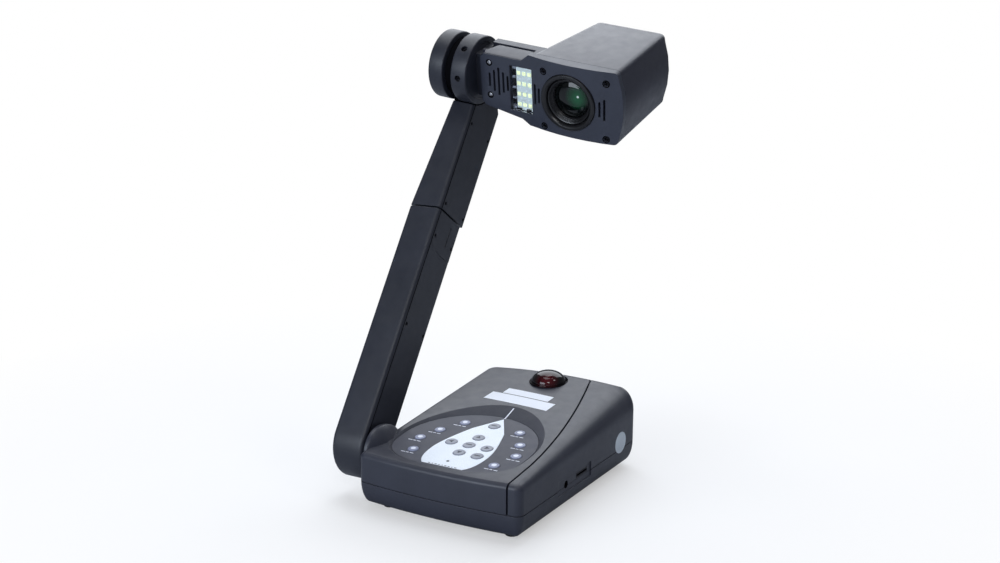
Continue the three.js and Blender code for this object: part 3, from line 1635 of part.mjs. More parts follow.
function ledBoardPlate() {
  const paneRear = -head.faceFront + fitGap + ledWindow.thickness;
  const front = paneRear + ledBoard.gap + fitGap;
  const [low, high] = [ledWindow.bottom + ledWindow.frame, ledWindow.top - ledWindow.frame];
  const [start, end] = [ledWindowStart + ledBoard.inset, ledWindowEnd - ledWindow.frame];
  const plate = box(start, end, front, front + ledBoard.thickness, low, high);
  const [middleX, middleZ] = [(start + end) / 2, (low + high) / 2];
  const half = ledBoard.chip / 2;
  const [chipFront, chipRear] = [front - ledBoard.chipHeight, front + ledBoard.thickness / 2];
  const chips = [];
  for (let row = 0; row < ledRowCount; row += 1) {
    for (let column = 0; column < ledColumnCount; column += 1) {
      const x = middleX + (column - (ledColumnCount - 1) / 2) * ledBoard.pitchX;
      const z = middleZ + (row - (ledRowCount - 1) / 2) * ledBoard.pitchZ;
      chips.push(box(x - half, x + half, chipFront, chipRear, z - half, z + half));
    }
  }
  return join(plate, ...chips);
}

// Assembly
function piece(name, shape, finish) {
  const mesh = new THREE.Mesh(geometryOf(shape), new THREE.MeshStandardMaterial(finishes[finish]));
  mesh.name = name;
  return mesh;
}

function baseGroup() {
  const group = new THREE.Group();
  group.add(
    piece('base_lower_shell', baseLowerShell(), 'darkCharcoal'),
    piece('base_upper_shell', baseUpperShell(), 'charcoal'),
    piece('side_cover', sideCoverShell(), 'charcoal'),
    piece('control_overlay', controlOverlay(), 'overlay'),
    piece('teardrop_inlay', teardropInlay(), 'pale'),
    piece('keypad_board', keypadPlate(), 'board'),
    piece('receiver_dome', receiverDome(), 'receiver'),
    piece('main_board', mainBoardPlate(), 'board'),
    piece('audio_jack', audioJack(), 'black'),
    piece('card_socket', cardSocket(), 'steel'),
    piece('rear_port_plate', rearPortPlate(), 'darkCharcoal'),
    piece('power_inlet', powerInlet(), 'black'),
    piece('usb_socket', usbSocket(), 'steel'),
    piece('screen_socket', screenSocket(), 'steel'),
    piece('video_socket', videoSocket(), 'brass'),
    piece('arm_pivot_bush', pivotBush(), 'brass'),
  );
  footPlaces().forEach((place) => group.add(piece(place.name, footSolid(place), 'rubber')));
  keys.forEach((place) => group.add(piece(place.name, keySolid(place), 'paleKey')));
  return group;
}

function headGroup() {
  const group = new THREE.Group();
  group.rotation.x = THREE.MathUtils.degToRad(head.tiltAngle);
  group.add(
    piece('hinge_knob', hingeKnob(), 'charcoal'),
    piece('hinge_hub', hingeHub(), 'charcoal'),
    piece('hinge_pin', hingePin(), 'steel'),
    piece('face_plate', facePlate(), 'charcoal'),
    piece('neck_rear_cover', neckRearCover(), 'charcoal'),
    piece('head_shell', headShell(), 'charcoal'),
    piece('lens_bezel', lensBezel(), 'black'),
    piece('lens_tube', lensTube(), 'black'),
    piece('lens_glass', lensGlass(), 'glass'),
    piece('zoom_module', zoomModule(), 'darkCharcoal'),
    piece('camera_board', cameraBoardPlate(), 'board'),
    piece('lamp_window', ledWindowPane(), 'clear'),
    piece('lamp_board', ledBoardPlate(), 'ledBoard'),
  );
  return group;
}

function upperArmGroup() {
  const group = new THREE.Group();
  group.position.z = arm.lowerLength + arm.elbowGap / 2;
  group.add(
    piece('upper_arm_shell', upperArmShell(), 'charcoal'),
    piece('upper_arm_cover', upperArmCover(), 'charcoal'),
    piece('swivel_shaft', swivelShaft(), 'steel'),
    piece('swivel_washer', swivelWasher(), 'black'),
    piece('swivel_nut', swivelNut(), 'steel'),
  );
  const level = new THREE.Group();
  level.position.copy(hingePlace);
  level.rotation.copy(levelTurn);
  const droop = new THREE.Group();
  droop.rotation.copy(droopTurn);
  droop.add(piece('hinge_tongue', hingeTongue(), 'black'), headGroup());
  level.add(droop);
  group.add(level);
  return group;
}

function armGroup() {
  const group = new THREE.Group();
  group.position.set(0, pivot.setback, pivotHeight);
  group.rotation.x = -THREE.MathUtils.degToRad(arm.leanAngle);
  group.add(
    piece('lower_arm_shell', lowerArmShell(), 'charcoal'),
    piece('lower_arm_cover', lowerArmCover(), 'charcoal'),
    piece('lower_arm_end_block', lowerArmEndBlock(), 'charcoal'),
    piece('arm_pivot_shaft', pivotShaft(), 'steel'),
    piece('arm_friction_washer', pivotWasher(), 'black'),
    upperArmGroup(),
  );
  return group;
}

const documentCamera = new THREE.Group();
documentCamera.add(baseGroup(), armGroup());

// The origin is the middle of the whole object's footprint, on the table
documentCamera.updateMatrixWorld(true);
const reach = new THREE.Box3().setFromObject(documentCamera, true);
documentCamera.position.set(-(reach.min.x + reach.max.x) / 2, -(reach.min.y + reach.max.y) / 2, -reach.min.z);
documentCamera.updateMatrixWorld(true);

export default documentCamera;
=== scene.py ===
"""Desk document camera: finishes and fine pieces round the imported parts."""

import math

import bmesh
import bpy
from mathutils import Matrix, Vector


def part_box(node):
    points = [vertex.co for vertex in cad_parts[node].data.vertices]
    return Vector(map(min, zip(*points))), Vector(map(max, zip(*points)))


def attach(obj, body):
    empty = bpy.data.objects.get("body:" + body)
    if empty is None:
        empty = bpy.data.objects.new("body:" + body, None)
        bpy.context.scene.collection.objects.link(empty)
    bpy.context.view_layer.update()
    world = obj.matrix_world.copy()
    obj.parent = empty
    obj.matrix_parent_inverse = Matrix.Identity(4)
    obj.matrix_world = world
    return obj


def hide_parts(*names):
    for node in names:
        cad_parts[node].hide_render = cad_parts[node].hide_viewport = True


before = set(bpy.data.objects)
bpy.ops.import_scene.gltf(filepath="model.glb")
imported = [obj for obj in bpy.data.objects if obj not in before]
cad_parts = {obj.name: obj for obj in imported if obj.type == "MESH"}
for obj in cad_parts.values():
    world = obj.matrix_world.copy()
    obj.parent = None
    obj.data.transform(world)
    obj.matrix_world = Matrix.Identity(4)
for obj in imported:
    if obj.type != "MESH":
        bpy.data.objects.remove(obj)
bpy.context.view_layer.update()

MM = 0.001

# Front left corner of the base's plan, in millimetres from the middle of the footprint
BASE_CORNER = Vector((-73.328, -183.4605, 0))

# The base: its plan, its crowned sloping top and the sunken panel
BASE_WIDTH = 200
BASE_DEPTH = 283
SEAM_HEIGHT = 31.3
SEAM_GAP = 0.5
FRONT_HEIGHT = 64
TOP_SLOPE = 29.4 / BASE_DEPTH
REAR_CROWN = 5.5
FRONT_BOW = 5
BOTTOM_INSET = 11
FLOOR_HEIGHT = 7
SIDE_FILLETS = ((8, 5), (5, 9), (28, 12), (12, 8))
CORNER_RADII = (9, 9, 15, 15)
SMALLEST_CORNER = 0.3
PANEL_CENTRE = (94, 68)
PANEL_HALF_WIDTH = 79
PANEL_REAR = 79
PANEL_FRONT = 58.4
PANEL_SUNK = 1.7
RIM_SPREAD = 6
RIM_REAR_SPREAD = 20
OVERLAY_THICKNESS = 1.4
COVER_REAR_SHARE = 0.305
SEAM_FRONT = BASE_WIDTH - 15.5
SEAM_BEND = BASE_WIDTH - 20
SEAM_REAR = BASE_WIDTH * (1 - COVER_REAR_SHARE)
SEAM_BEND_START = 50
SEAM_BEND_MIDDLE = 150
FOOT_PLACES_X = (24, 176)
WELL_PLACES_X = (44, 156)
FOOT_PLACES_Y = (26, BASE_DEPTH - 37)
DOME = (98, 250)
JACK = (101.97, 33.3)
CARD = (138.78, 35.2)

# The arm: pivot on the base, elbow and head hinge
PIVOT = (0, 38, 57.5)
ARM_LEAN = 33.3
ELBOW = 280.2
HINGE_IN_ARM = (-23.7, -40.5, 177.5)
HINGE_DROOP = 8.8
ARM_RIGHT = -3
ARM_WIDTH = 41.7
ARM_HALF_DEPTH = 27
ARM_COVER_EDGE = -22
ARM_FOOT = -34
ARM_END = 279
ARM_SCREW_LOW = 139.5
FOOT_RADIUS = 40
FOOT_MIDDLE = (FOOT_RADIUS - ARM_HALF_DEPTH, ARM_FOOT + FOOT_RADIUS)
ACROSS_ARM = (-60, 10)

# The head, as seen from the middle of its hinge
HEAD_TILT = 20.5
HEAD_START = 100
HEAD_END = 212
HEAD_TOP = 38.5
HEAD_BOTTOM = -49.5
HEAD_FACE = -15
HEAD_BOW = 24
LENS_X, LENS_Z, LENS_FACE = 151, -7, -21
WINDOW_LOW = (79.5, -34.5)
WINDOW_HIGH = (102, 21.5)
BOARD_MARGIN = 1.2
RIM_WELLS = (-57, -6, 58)

# Cutters run past the piece that they cut, by this much or more
OVERRUN = 10
SEAM_OVERRUN = 12


def turn_x(angle):
    return Matrix.Rotation(math.radians(angle), 4, "X")


def turn_y(angle):
    return Matrix.Rotation(math.radians(angle), 4, "Y")


def turn_z(angle):
    return Matrix.Rotation(math.radians(angle), 4, "Z")


def shift(x, y, z):
    return Matrix.Translation((x, y, z))


BASE = Matrix.Translation(BASE_CORNER)
LOWER_ARM = BASE @ Matrix.Translation(PIVOT) @ turn_x(-ARM_LEAN)
UPPER_ARM = LOWER_ARM @ Matrix.Translation((0, 0, ELBOW))
HINGE = UPPER_ARM @ Matrix.Translation(HINGE_IN_ARM) @ turn_x(ARM_LEAN) @ turn_y(HINGE_DROOP)
HEAD = HINGE @ turn_x(HEAD_TILT)


# Shader helpers and shared effects


def new_group(name, inputs, outputs):
    group = bpy.data.node_groups.new(name, "ShaderNodeTree")
    for label, kind, value in inputs:
        socket = group.interface.new_socket(label, in_out="INPUT", socket_type=kind)
        if value is not None:
            socket.default_value = value
    for label, kind in outputs:
        group.interface.new_socket(label, in_out="OUTPUT", socket_type=kind)
    return group, group.nodes.new("NodeGroupInput"), group.nodes.new("NodeGroupOutput")


def noise(tree, vector, scale, detail=2.0, roughness=0.5):
    node = tree.nodes.new("ShaderNodeTexNoise")
    node.inputs["Detail"].default_value = detail
    node.inputs["Roughness"].default_value = roughness
    tree.links.new(vector, node.inputs["Vector"])
    if isinstance(scale, (int, float)):
        node.inputs["Scale"].default_value = scale
    else:
        tree.links.new(scale, node.inputs["Scale"])
    return node.outputs["Fac"]


def remap(tree, value, low, high, to_low, to_high):
    node = tree.nodes.new("ShaderNodeMapRange")
    node.inputs["From Min"].default_value = low
    node.inputs["From Max"].default_value = high
    for name, bound in (("To Min", to_low), ("To Max", to_high)):
        if isinstance(bound, (int, float)):
            node.inputs[name].default_value = bound
        else:
            tree.links.new(bound, node.inputs[name])
    tree.links.new(value, node.inputs["Value"])
    return node.outputs["Result"]


def maths(tree, operation, a, b):
    node = tree.nodes.new("ShaderNodeMath")
    node.operation = operation
    for socket, value in zip(node.inputs, (a, b)):
        if isinstance(value, (int, float)):
            socket.default_value = value
        else:
            tree.links.new(value, socket)
    return node.outputs[0]


def mixed(tree, factor, a, b, blend="MIX"):
    node = tree.nodes.new("ShaderNodeMix")
    node.data_type = "RGBA"
    node.blend_type = blend
    for socket, value in zip((node.inputs[0], node.inputs[6], node.inputs[7]), (factor, a, b)):
        if isinstance(value, (int, float, tuple)):
            socket.default_value = value
        else:
            tree.links.new(value, socket)
    return node.outputs[2]


def moulded_grain():
    """Fine spark-eroded grain of moulded plastic, with faint flow marks and handling sheen."""
    group, start, end = new_group(
        "moulded_grain",
        [
            ("Position", "NodeSocketVector", None),
            ("Colour", "NodeSocketColor", (0.05, 0.05, 0.06, 1)),
            ("Sheen Colour", "NodeSocketColor", (0.08, 0.08, 0.09, 1)),
            ("Grain Scale", "NodeSocketFloat", 2600.0),
            ("Roughness", "NodeSocketFloat", 0.5),
            ("Roughness Spread", "NodeSocketFloat", 0.08),
        ],
        [("Colour", "NodeSocketColor"), ("Roughness", "NodeSocketFloat"), ("Height", "NodeSocketFloat")],
    )
    here = start.outputs["Position"]
    grain = noise(group, here, start.outputs["Grain Scale"], 1.0)
    clouds = noise(group, here, 22.0, 3.0)
    flow = noise(group, here, 90.0, 2.0)
    shade = remap(group, clouds, 0.3, 0.7, 0.0, 1.0)
    colour = mixed(group, shade, start.outputs["Colour"], start.outputs["Sheen Colour"])
    speck = remap(group, grain, 0.35, 0.7, 0.88, 1.1)
    fine = group.nodes.new("ShaderNodeHueSaturation")
    group.links.new(colour, fine.inputs["Color"])
    group.links.new(speck, fine.inputs["Value"])
    group.links.new(fine.outputs["Color"], end.inputs["Colour"])
    swing = maths(group, "MULTIPLY", maths(group, "SUBTRACT", flow, 0.5), start.outputs["Roughness Spread"])
    group.links.new(maths(group, "ADD", start.outputs["Roughness"], swing), end.inputs["Roughness"])
    group.links.new(grain, end.inputs["Height"])
    return group


def settled_dust():
    """Thin dust on what faces up, patchy and broken."""
    group, start, end = new_group(
        "settled_dust",
        [
            ("Position", "NodeSocketVector", None),
            ("Normal", "NodeSocketVector", None),
            ("Amount", "NodeSocketFloat", 0.1),
        ],
        [("Dust", "NodeSocketFloat")],
    )
    split = group.nodes.new("ShaderNodeSeparateXYZ")
    group.links.new(start.outputs["Normal"], split.inputs[0])
    up = remap(group, split.outputs["Z"], 0.3, 1.0, 0.0, 1.0)
    patches = remap(group, noise(group, start.outputs["Position"], 60.0, 4.0), 0.35, 0.75, 0.2, 1.0)
    amount = maths(group, "MULTIPLY", maths(group, "MULTIPLY", up, patches), start.outputs["Amount"])
    group.links.new(amount, end.inputs["Dust"])
    return group


GRAIN = moulded_grain()
DUST = settled_dust()


class Finish:
    """A material with its own shader, ready for the shared effects."""

    def __init__(self, name):
        self.material = bpy.data.materials.new(name)
        self.material.use_nodes = True
        self.tree = self.material.node_tree
        self.shader = self.tree.nodes["Principled BSDF"]
        self.geometry = self.tree.nodes.new("ShaderNodeNewGeometry")
        texture = self.tree.nodes.new("ShaderNodeTexCoord")
        self.position = texture.outputs["Object"]

    def effect(self, group, **values):
        node = self.tree.nodes.new("ShaderNodeGroup")
        node.node_tree = group
        for name, value in values.items():
            socket = node.inputs[name.replace("_", " ")]
            if hasattr(value, "is_output"):
                self.tree.links.new(value, socket)
            else:
                socket.default_value = value
        return node.outputs

    def plain(self, **values):
        for name, value in values.items():
            self.shader.inputs[name.replace("_", " ")].default_value = value

    def feed(self, name, output):
        self.tree.links.new(output, self.shader.inputs[name])

    def soft_edges(self, radius):
        node = self.tree.nodes.new("ShaderNodeBevel")
        node.samples = 6
        node.inputs["Radius"].default_value = radius
        return node.outputs["Normal"]

    def relief(self, height, strength, distance, edge=0.0):
        node = self.tree.nodes.new("ShaderNodeBump")
        node.inputs["Strength"].default_value = strength
        node.inputs["Distance"].default_value = distance
        self.tree.links.new(height, node.inputs["Height"])
        if edge:
            self.tree.links.new(self.soft_edges(edge), node.inputs["Normal"])
        self.feed("Normal", node.outputs["Normal"])


def linear(red, green, blue):
    """A colour as it is seen, 0 to 255, for a colour socket."""
    shares = [value / 255 for value in (red, green, blue)]
    return (*(s / 12.92 if s <= 0.04045 else ((s + 0.055) / 1.055) ** 2.4 for s in shares), 1.0)


def moulded_plastic(name, colour, sheen, roughness, grain=2600.0, bump=0.25, edge=0.0007, dust=0.05, ior=1.5):
    made = Finish(name)
    out = made.effect(
        GRAIN,
        Position=made.position,
        Colour=colour,
        Sheen_Colour=sheen,
        Grain_Scale=grain,
        Roughness=roughness,
        Roughness_Spread=0.16,
    )
    layer = made.effect(DUST, Position=made.position, Normal=made.geometry.outputs["Normal"], Amount=dust)
    made.feed("Base Color", mixed(made.tree, layer["Dust"], out["Colour"], linear(176, 174, 170)))
    made.feed("Roughness", out["Roughness"])
    made.plain(IOR=ior)
    made.relief(out["Height"], bump, 0.00012, edge)
    return made.material


def bare_metal(name, colour, roughness, scratch=900.0):
    made = Finish(name)
    stretched = made.tree.nodes.new("ShaderNodeMapping")
    stretched.inputs["Scale"].default_value = (1.0, 14.0, 14.0)
    made.tree.links.new(made.position, stretched.inputs["Vector"])
    marks = noise(made.tree, stretched.outputs["Vector"], scratch, 2.0)
    made.plain(Metallic=1.0)
    tone = remap(made.tree, marks, 0.3, 0.7, 0.85, 1.08)
    fine = made.tree.nodes.new("ShaderNodeHueSaturation")
    fine.inputs["Color"].default_value = colour
    made.tree.links.new(tone, fine.inputs["Value"])
    made.feed("Base Color", fine.outputs["Color"])
    made.feed("Roughness", remap(made.tree, marks, 0.3, 0.7, roughness - 0.08, roughness + 0.1))
    made.relief(marks, 0.15, 0.00005, 0.0003)
    return made.material


def painted_light_ball(made, spot, reach):
    """Painted light: one at a spot inside a piece, falling to nothing at its reach."""
    mapping = made.tree.nodes.new("ShaderNodeMapping")
    mapping.vector_type = "TEXTURE"
    mapping.inputs["Location"].default_value = spot * MM
    mapping.inputs["Scale"].default_value = (reach * MM, reach * MM, reach * MM)
    painted_ball = made.tree.nodes.new("ShaderNodeTexGradient")
    painted_ball.gradient_type = "SPHERICAL"
    made.tree.links.new(made.position, mapping.inputs["Vector"])
    made.tree.links.new(mapping.outputs["Vector"], painted_ball.inputs["Vector"])
    return painted_ball.outputs["Fac"]


def dark_gloss(name, colour, painted_glow, roughness, spot, reach, painted_glint=None):
    """Deep glossy plastic or coated glass: dark face with a painted glow of colour round a spot inside.

    A glint is a painted highlight: a small pale spot, as of a lamp mirrored deep in the glass.
    """
    made = Finish(name)
    painted_ball = painted_light_ball(made, spot, reach)
    facing = made.tree.nodes.new("ShaderNodeLayerWeight")
    facing.inputs["Blend"].default_value = 0.35
    depth = noise(made.tree, made.position, 45.0, 2.0)
    # Painted glow: the glow colour laid round the spot inside, falling off towards its reach.
    painted_glow_share = maths(made.tree, "MULTIPLY", painted_ball, remap(made.tree, depth, 0.3, 0.6, 0.7, 1.3))
    painted_glow_tint = mixed(made.tree, painted_glow_share, colour, painted_glow)
    # Painted highlight: a small pale spot for the glint.
    if painted_glint:
        bright = remap(made.tree, painted_light_ball(made, painted_glint, 2.2), 0.25, 0.6, 0.0, 1.0)
        painted_glow_tint = mixed(made.tree, bright, painted_glow_tint, linear(226, 240, 234))
    made.feed("Base Color", mixed(made.tree, facing.outputs["Facing"], painted_glow_tint, colour))
    made.feed("Roughness", remap(made.tree, depth, 0.3, 0.7, roughness, roughness + 0.03))
    made.plain(IOR=1.36, Coat_Weight=0.25, Coat_Roughness=0.03)
    return made.material


def circuit_board(name, colour, track, painted_glow=0.0):
    made = Finish(name)
    # Any glow is painted light: the board itself is no lamp.
    made.plain(Emission_Color=(0.9, 1.0, 0.97, 1.0), Emission_Strength=painted_glow)
    cells = made.tree.nodes.new("ShaderNodeTexVoronoi")
    cells.distance = "MANHATTAN"
    cells.inputs["Scale"].default_value = 260.0
    made.tree.links.new(made.position, cells.inputs["Vector"])
    lines = remap(made.tree, cells.outputs["Distance"], 0.42, 0.5, 0.0, 1.0)
    made.feed("Base Color", mixed(made.tree, lines, colour, track))
    made.feed("Roughness", remap(made.tree, lines, 0.0, 1.0, 0.35, 0.5))
    made.relief(lines, 0.2, 0.00008)
    return made.material


def lit_chip(name, colour, light, strength):
    """Face of a small lamp: a pale dome with a phosphor spot that gives a little light."""
    made = Finish(name)
    spots = noise(made.tree, made.position, 900.0, 2.0)
    made.feed("Base Color", mixed(made.tree, remap(made.tree, spots, 0.3, 0.7, 0.0, 1.0), colour, light))
    made.feed("Emission Color", mixed(made.tree, remap(made.tree, spots, 0.3, 0.7, 0.0, 0.6), light, colour))
    made.plain(Emission_Strength=strength, Roughness=0.25)
    return made.material


def clear_pane(name):
    made = Finish(name)
    smear = noise(made.tree, made.position, 160.0, 3.0)
    made.plain(Base_Color=(0.95, 0.98, 1.0, 1.0), Transmission_Weight=1.0, IOR=1.2)
    made.feed("Roughness", remap(made.tree, smear, 0.3, 0.8, 0.02, 0.09))
    return made.material


def paper(name, colour, fibre):
    made = Finish(name)
    pulp = noise(made.tree, made.position, 1500.0, 4.0)
    made.feed("Base Color", mixed(made.tree, remap(made.tree, pulp, 0.3, 0.7, 0.0, 1.0), colour, fibre))
    made.feed("Roughness", remap(made.tree, pulp, 0.3, 0.7, 0.5, 0.7))
    made.relief(pulp, 0.2, 0.00005)
    return made.material


def shades(name, low, high, roughness, **values):
    """Moulded plastic between two shades, each as it is seen, 0 to 255."""
    return moulded_plastic(name, linear(*low), linear(*high), roughness, **values)


HOUSING = shades("charcoal_housing", (39, 42, 54), (45, 48, 61), 0.42)
HOUSING_DARK = shades("charcoal_underside", (39, 42, 54), (45, 48, 61), 0.46)
ARM_PLASTIC = shades("charcoal_arm", (29, 32, 42), (34, 37, 48), 0.44)
HEAD_PLASTIC = shades("charcoal_head", (37, 39, 51), (43, 45, 58), 0.38)
FACE_PLASTIC = shades("charcoal_face", (46, 50, 62), (52, 56, 69), 0.38, bump=0.12)
BLACK = shades("black_plastic", (16, 16, 19), (21, 21, 24), 0.33, bump=0.1)
LENS_BLACK = shades("lens_black", (15, 15, 18), (20, 20, 23), 0.3, bump=0.08, edge=0.0004, dust=0.0)
RECESS_PLASTIC = shades("charcoal_recess", (46, 48, 58), (52, 54, 65), 0.75, grain=1600.0, bump=0.5, dust=0.0)

MEMBRANE = shades("panel_membrane", (66, 68, 79), (73, 75, 87), 0.62, grain=1800.0, bump=0.12)
PALE_MEMBRANE = shades(
    "teardrop_membrane", (231, 239, 250), (237, 244, 253), 0.42, grain=1800.0, bump=0.08, dust=0.0
)
KEY_ON_PALE = shades("key_rim_grey", (134, 139, 152), (146, 151, 164), 0.4, bump=0.08, dust=0.02)
KEY_ON_DARK = shades("key_lavender", (124, 130, 156), (142, 149, 177), 0.4, bump=0.08, dust=0.02)
INK_PALE = shades("pale_ink", (226, 231, 244), (236, 240, 250), 0.5, bump=0.03, edge=0.0, dust=0.0)
INK_DARK = shades("dark_ink", (46, 50, 62), (58, 62, 75), 0.5, bump=0.03, edge=0.0, dust=0.0)
# Near-black matt plastic without sheen: painted shade, for joints, a vent slot, the jack, sunk screws and the
# tongue in the hinge's gap.
PAINTED_SHADE = shades("joint_shadow", (9, 9, 11), (13, 13, 16), 0.9, bump=0.05, edge=0.0, dust=0.0, ior=1.05)
RUBBER = shades("foot_rubber", (30, 30, 32), (38, 38, 40), 0.85, grain=1400.0, bump=0.5)

STEEL = bare_metal("bright_steel", linear(196, 197, 201), 0.3)
BRASS = bare_metal("plated_brass", linear(205, 178, 110), 0.3)
BLACK_SCREW = bare_metal("blackened_screw", linear(42, 42, 46), 0.4)

# The dome's red glow round a spot inside it is painted light.
RECEIVER_PAINTED_GLOW_SPOT = BASE @ Vector((DOME[0] + 6, DOME[1] - 16, 102))
RECEIVER = dark_gloss("receiver_window", linear(8, 5, 7), linear(74, 14, 22), 0.05, RECEIVER_PAINTED_GLOW_SPOT, 16)
# Painted reflection of the lens coating: a green glow round a spot in the glass, and a painted glint beside
# it.
LENS_PAINTED_GLOW_SPOT = HEAD @ Vector((LENS_X + 8, LENS_FACE + 8, LENS_Z + 5))
LENS_PAINTED_GLINT = HEAD @ Vector((LENS_X + 9.5, LENS_FACE + 7, LENS_Z + 6.5))
LENS_GLASS = dark_gloss("coated_glass", linear(4, 7, 7), linear(26, 96, 60), 0.02, LENS_PAINTED_GLOW_SPOT, 15, LENS_PAINTED_GLINT)

BOARD = circuit_board("green_board", linear(24, 84, 50), linear(46, 122, 78))
# The lamp board's faint glow is painted light.
WHITE_BOARD = circuit_board("white_lamp_board", linear(203, 214, 220), linear(184, 196, 202), 0.24)
CHIP = lit_chip("lamp_chip", linear(214, 232, 150), linear(250, 255, 214), 0.6)
PANE = clear_pane("lamp_pane")
LABEL_PAPER = paper("blank_label", linear(226, 231, 242), linear(238, 242, 250))
SEAL_FILM = paper("blank_seal", linear(192, 203, 214), linear(212, 221, 230))


# Mesh helpers


def smooth_below(work, angle):
    """Shades all faces smooth, but keeps open edges and those sharper than the angle."""
    limit = math.radians(angle)
    for face in work.faces:
        face.smooth = True
    for edge in work.edges:
        edge.smooth = len(edge.link_faces) == 2 and edge.calc_face_angle(0) < limit


def drawn_mesh(name, points, faces, place):
    """A mesh from points in millimetres, set in place."""
    mesh = bpy.data.meshes.new(name)
    mesh.from_pydata([(place @ Vector(p)) * MM for p in points], [], faces)
    return mesh


def in_scene(name, data):
    thing = bpy.data.objects.new(name, data)
    bpy.context.scene.collection.objects.link(thing)
    return thing


def mesh_piece(name, points, faces, place, body, finish, smooth_angle=32):
    """A piece from drawn points in millimetres, set in place and put on its body."""
    mesh = drawn_mesh(name, points, faces, place)
    work = bmesh.new()
    work.from_mesh(mesh)
    bmesh.ops.remove_doubles(work, verts=work.verts, dist=0.000001)
    bmesh.ops.recalc_face_normals(work, faces=work.faces)
    smooth_below(work, smooth_angle)
    work.to_mesh(mesh)
    work.free()
    mesh.materials.append(finish)
    thing = in_scene(name, mesh)
    if body:
        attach(thing, body)
    return thing


def turned_faces(rings, sides):
    faces = []
    for k in range(rings - 1):
        for i in range(sides):
            j = (i + 1) % sides
            faces.append((k * sides + i, k * sides + j, (k + 1) * sides + j, (k + 1) * sides + i))
    return faces


AXIS_TURN = {
    "x": Matrix(((0, 0, 1, 0), (1, 0, 0, 0), (0, 1, 0, 0), (0, 0, 0, 1))),
    "y": Matrix(((0, 1, 0, 0), (0, 0, 1, 0), (1, 0, 0, 0), (0, 0, 0, 1))),
    "z": Matrix.Identity(4),
}


def circle(radius, height, sides):
    turns = [2 * math.pi * i / sides for i in range(sides)]
    return [(radius * math.cos(turn), radius * math.sin(turn), height) for turn in turns]


def turned(name, rows, axis, place, body, finish, sides=96, smooth_angle=32):
    """A turned piece: rows of (radius, distance along the axis)."""
    points = [point for radius, along in rows for point in circle(radius, along, sides)]
    faces = turned_faces(len(rows), sides)
    return mesh_piece(name, points, faces, place @ AXIS_TURN[axis], body, finish, smooth_angle)


def ring_skin(rings):
    """Points and faces over closed rings of equally many points, with both ends filled."""
    sides = len(rings[0])
    points = [p for ring in rings for p in ring]
    faces = turned_faces(len(rings), sides)
    faces.append(tuple(reversed(range(sides))))
    faces.append(tuple(range((len(rings) - 1) * sides, len(rings) * sides)))
    return points, faces


def cutter(name, points, faces, place):
    """A closed tool for carve, drawn in millimetres."""
    mesh = drawn_mesh(name, points, faces, place)
    work = bmesh.new()
    work.from_mesh(mesh)
    bmesh.ops.recalc_face_normals(work, faces=work.faces)
    work.to_mesh(mesh)
    work.free()
    return in_scene(name, mesh)


def prism(outline, low, high):
    """Points and faces of an outline in the second and third direction, drawn out along the first."""
    return ring_skin([[(x, y, z) for y, z in outline] for x in (low, high)])


def carve(thing, tools, operation="DIFFERENCE"):
    """Cuts the tools out of a piece, or joins them to it, and keeps the result as its mesh."""
    for tool in tools:
        step = thing.modifiers.new("carve", "BOOLEAN")
        step.operation = operation
        step.solver = "MANIFOLD"
        step.object = tool
    shaped = bpy.data.meshes.new_from_object(thing.evaluated_get(bpy.context.evaluated_depsgraph_get()))
    thing.modifiers.clear()
    thing.data = shaped
    for tool in tools:
        bpy.data.objects.remove(tool)
    return thing


def resmooth(thing, smooth_angle):
    """Shades a carved piece."""
    work = bmesh.new()
    work.from_mesh(thing.data)
    bmesh.ops.remove_doubles(work, verts=work.verts, dist=0.000002)
    smooth_below(work, smooth_angle)
    work.to_mesh(thing.data)
    work.free()


def stand_for(node):
    """The dressed piece is seen in place of a packed one."""
    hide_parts(node)


def bar_cutter(name, radius, low, high, place, axis="z", sides=48):
    points, faces = ring_skin([circle(radius, height, sides) for height in (low, high)])
    return cutter(name, points, faces, place @ AXIS_TURN[axis])


BOX_FACES = [(0, 3, 2, 1), (4, 5, 6, 7), (0, 1, 5, 4), (1, 2, 6, 5), (2, 3, 7, 6), (3, 0, 4, 7)]


def box_points(low, high):
    (x0, y0, z0), (x1, y1, z1) = low, high
    return [(x, y, z) for z in (z0, z1) for x, y in ((x0, y0), (x1, y0), (x1, y1), (x0, y1))]


def box_cutter(name, low, high, place):
    return cutter(name, box_points(low, high), BOX_FACES, place)


def box_piece(name, low, high, place, body, finish):
    return mesh_piece(name, box_points(low, high), BOX_FACES, place, body, finish)


def quadratic(start, middle, end, share):
    """One coordinate of a curve with one handle."""
    rest = 1 - share
    return rest * rest * start + 2 * share * rest * middle + share * share * end


def rounded_outline(low, high, radii, steps):
    """Rectangle with its own radius at each corner, from the low corner round by the first axis."""
    (a0, b0), (a1, b1) = low, high
    corners = ((a0, b0, 1, 1, 180), (a1, b0, -1, 1, 270), (a1, b1, -1, -1, 0), (a0, b1, 1, -1, 90))
    points = []
    for (a, b, to_a, to_b, start), radius in zip(corners, radii):
        for k in range(steps + 1):
            angle = math.radians(start + 90 * k / steps)
            along_a = to_a * radius + radius * math.cos(angle)
            along_b = to_b * radius + radius * math.sin(angle)
            points.append((a + along_a, b + along_b))
    return points


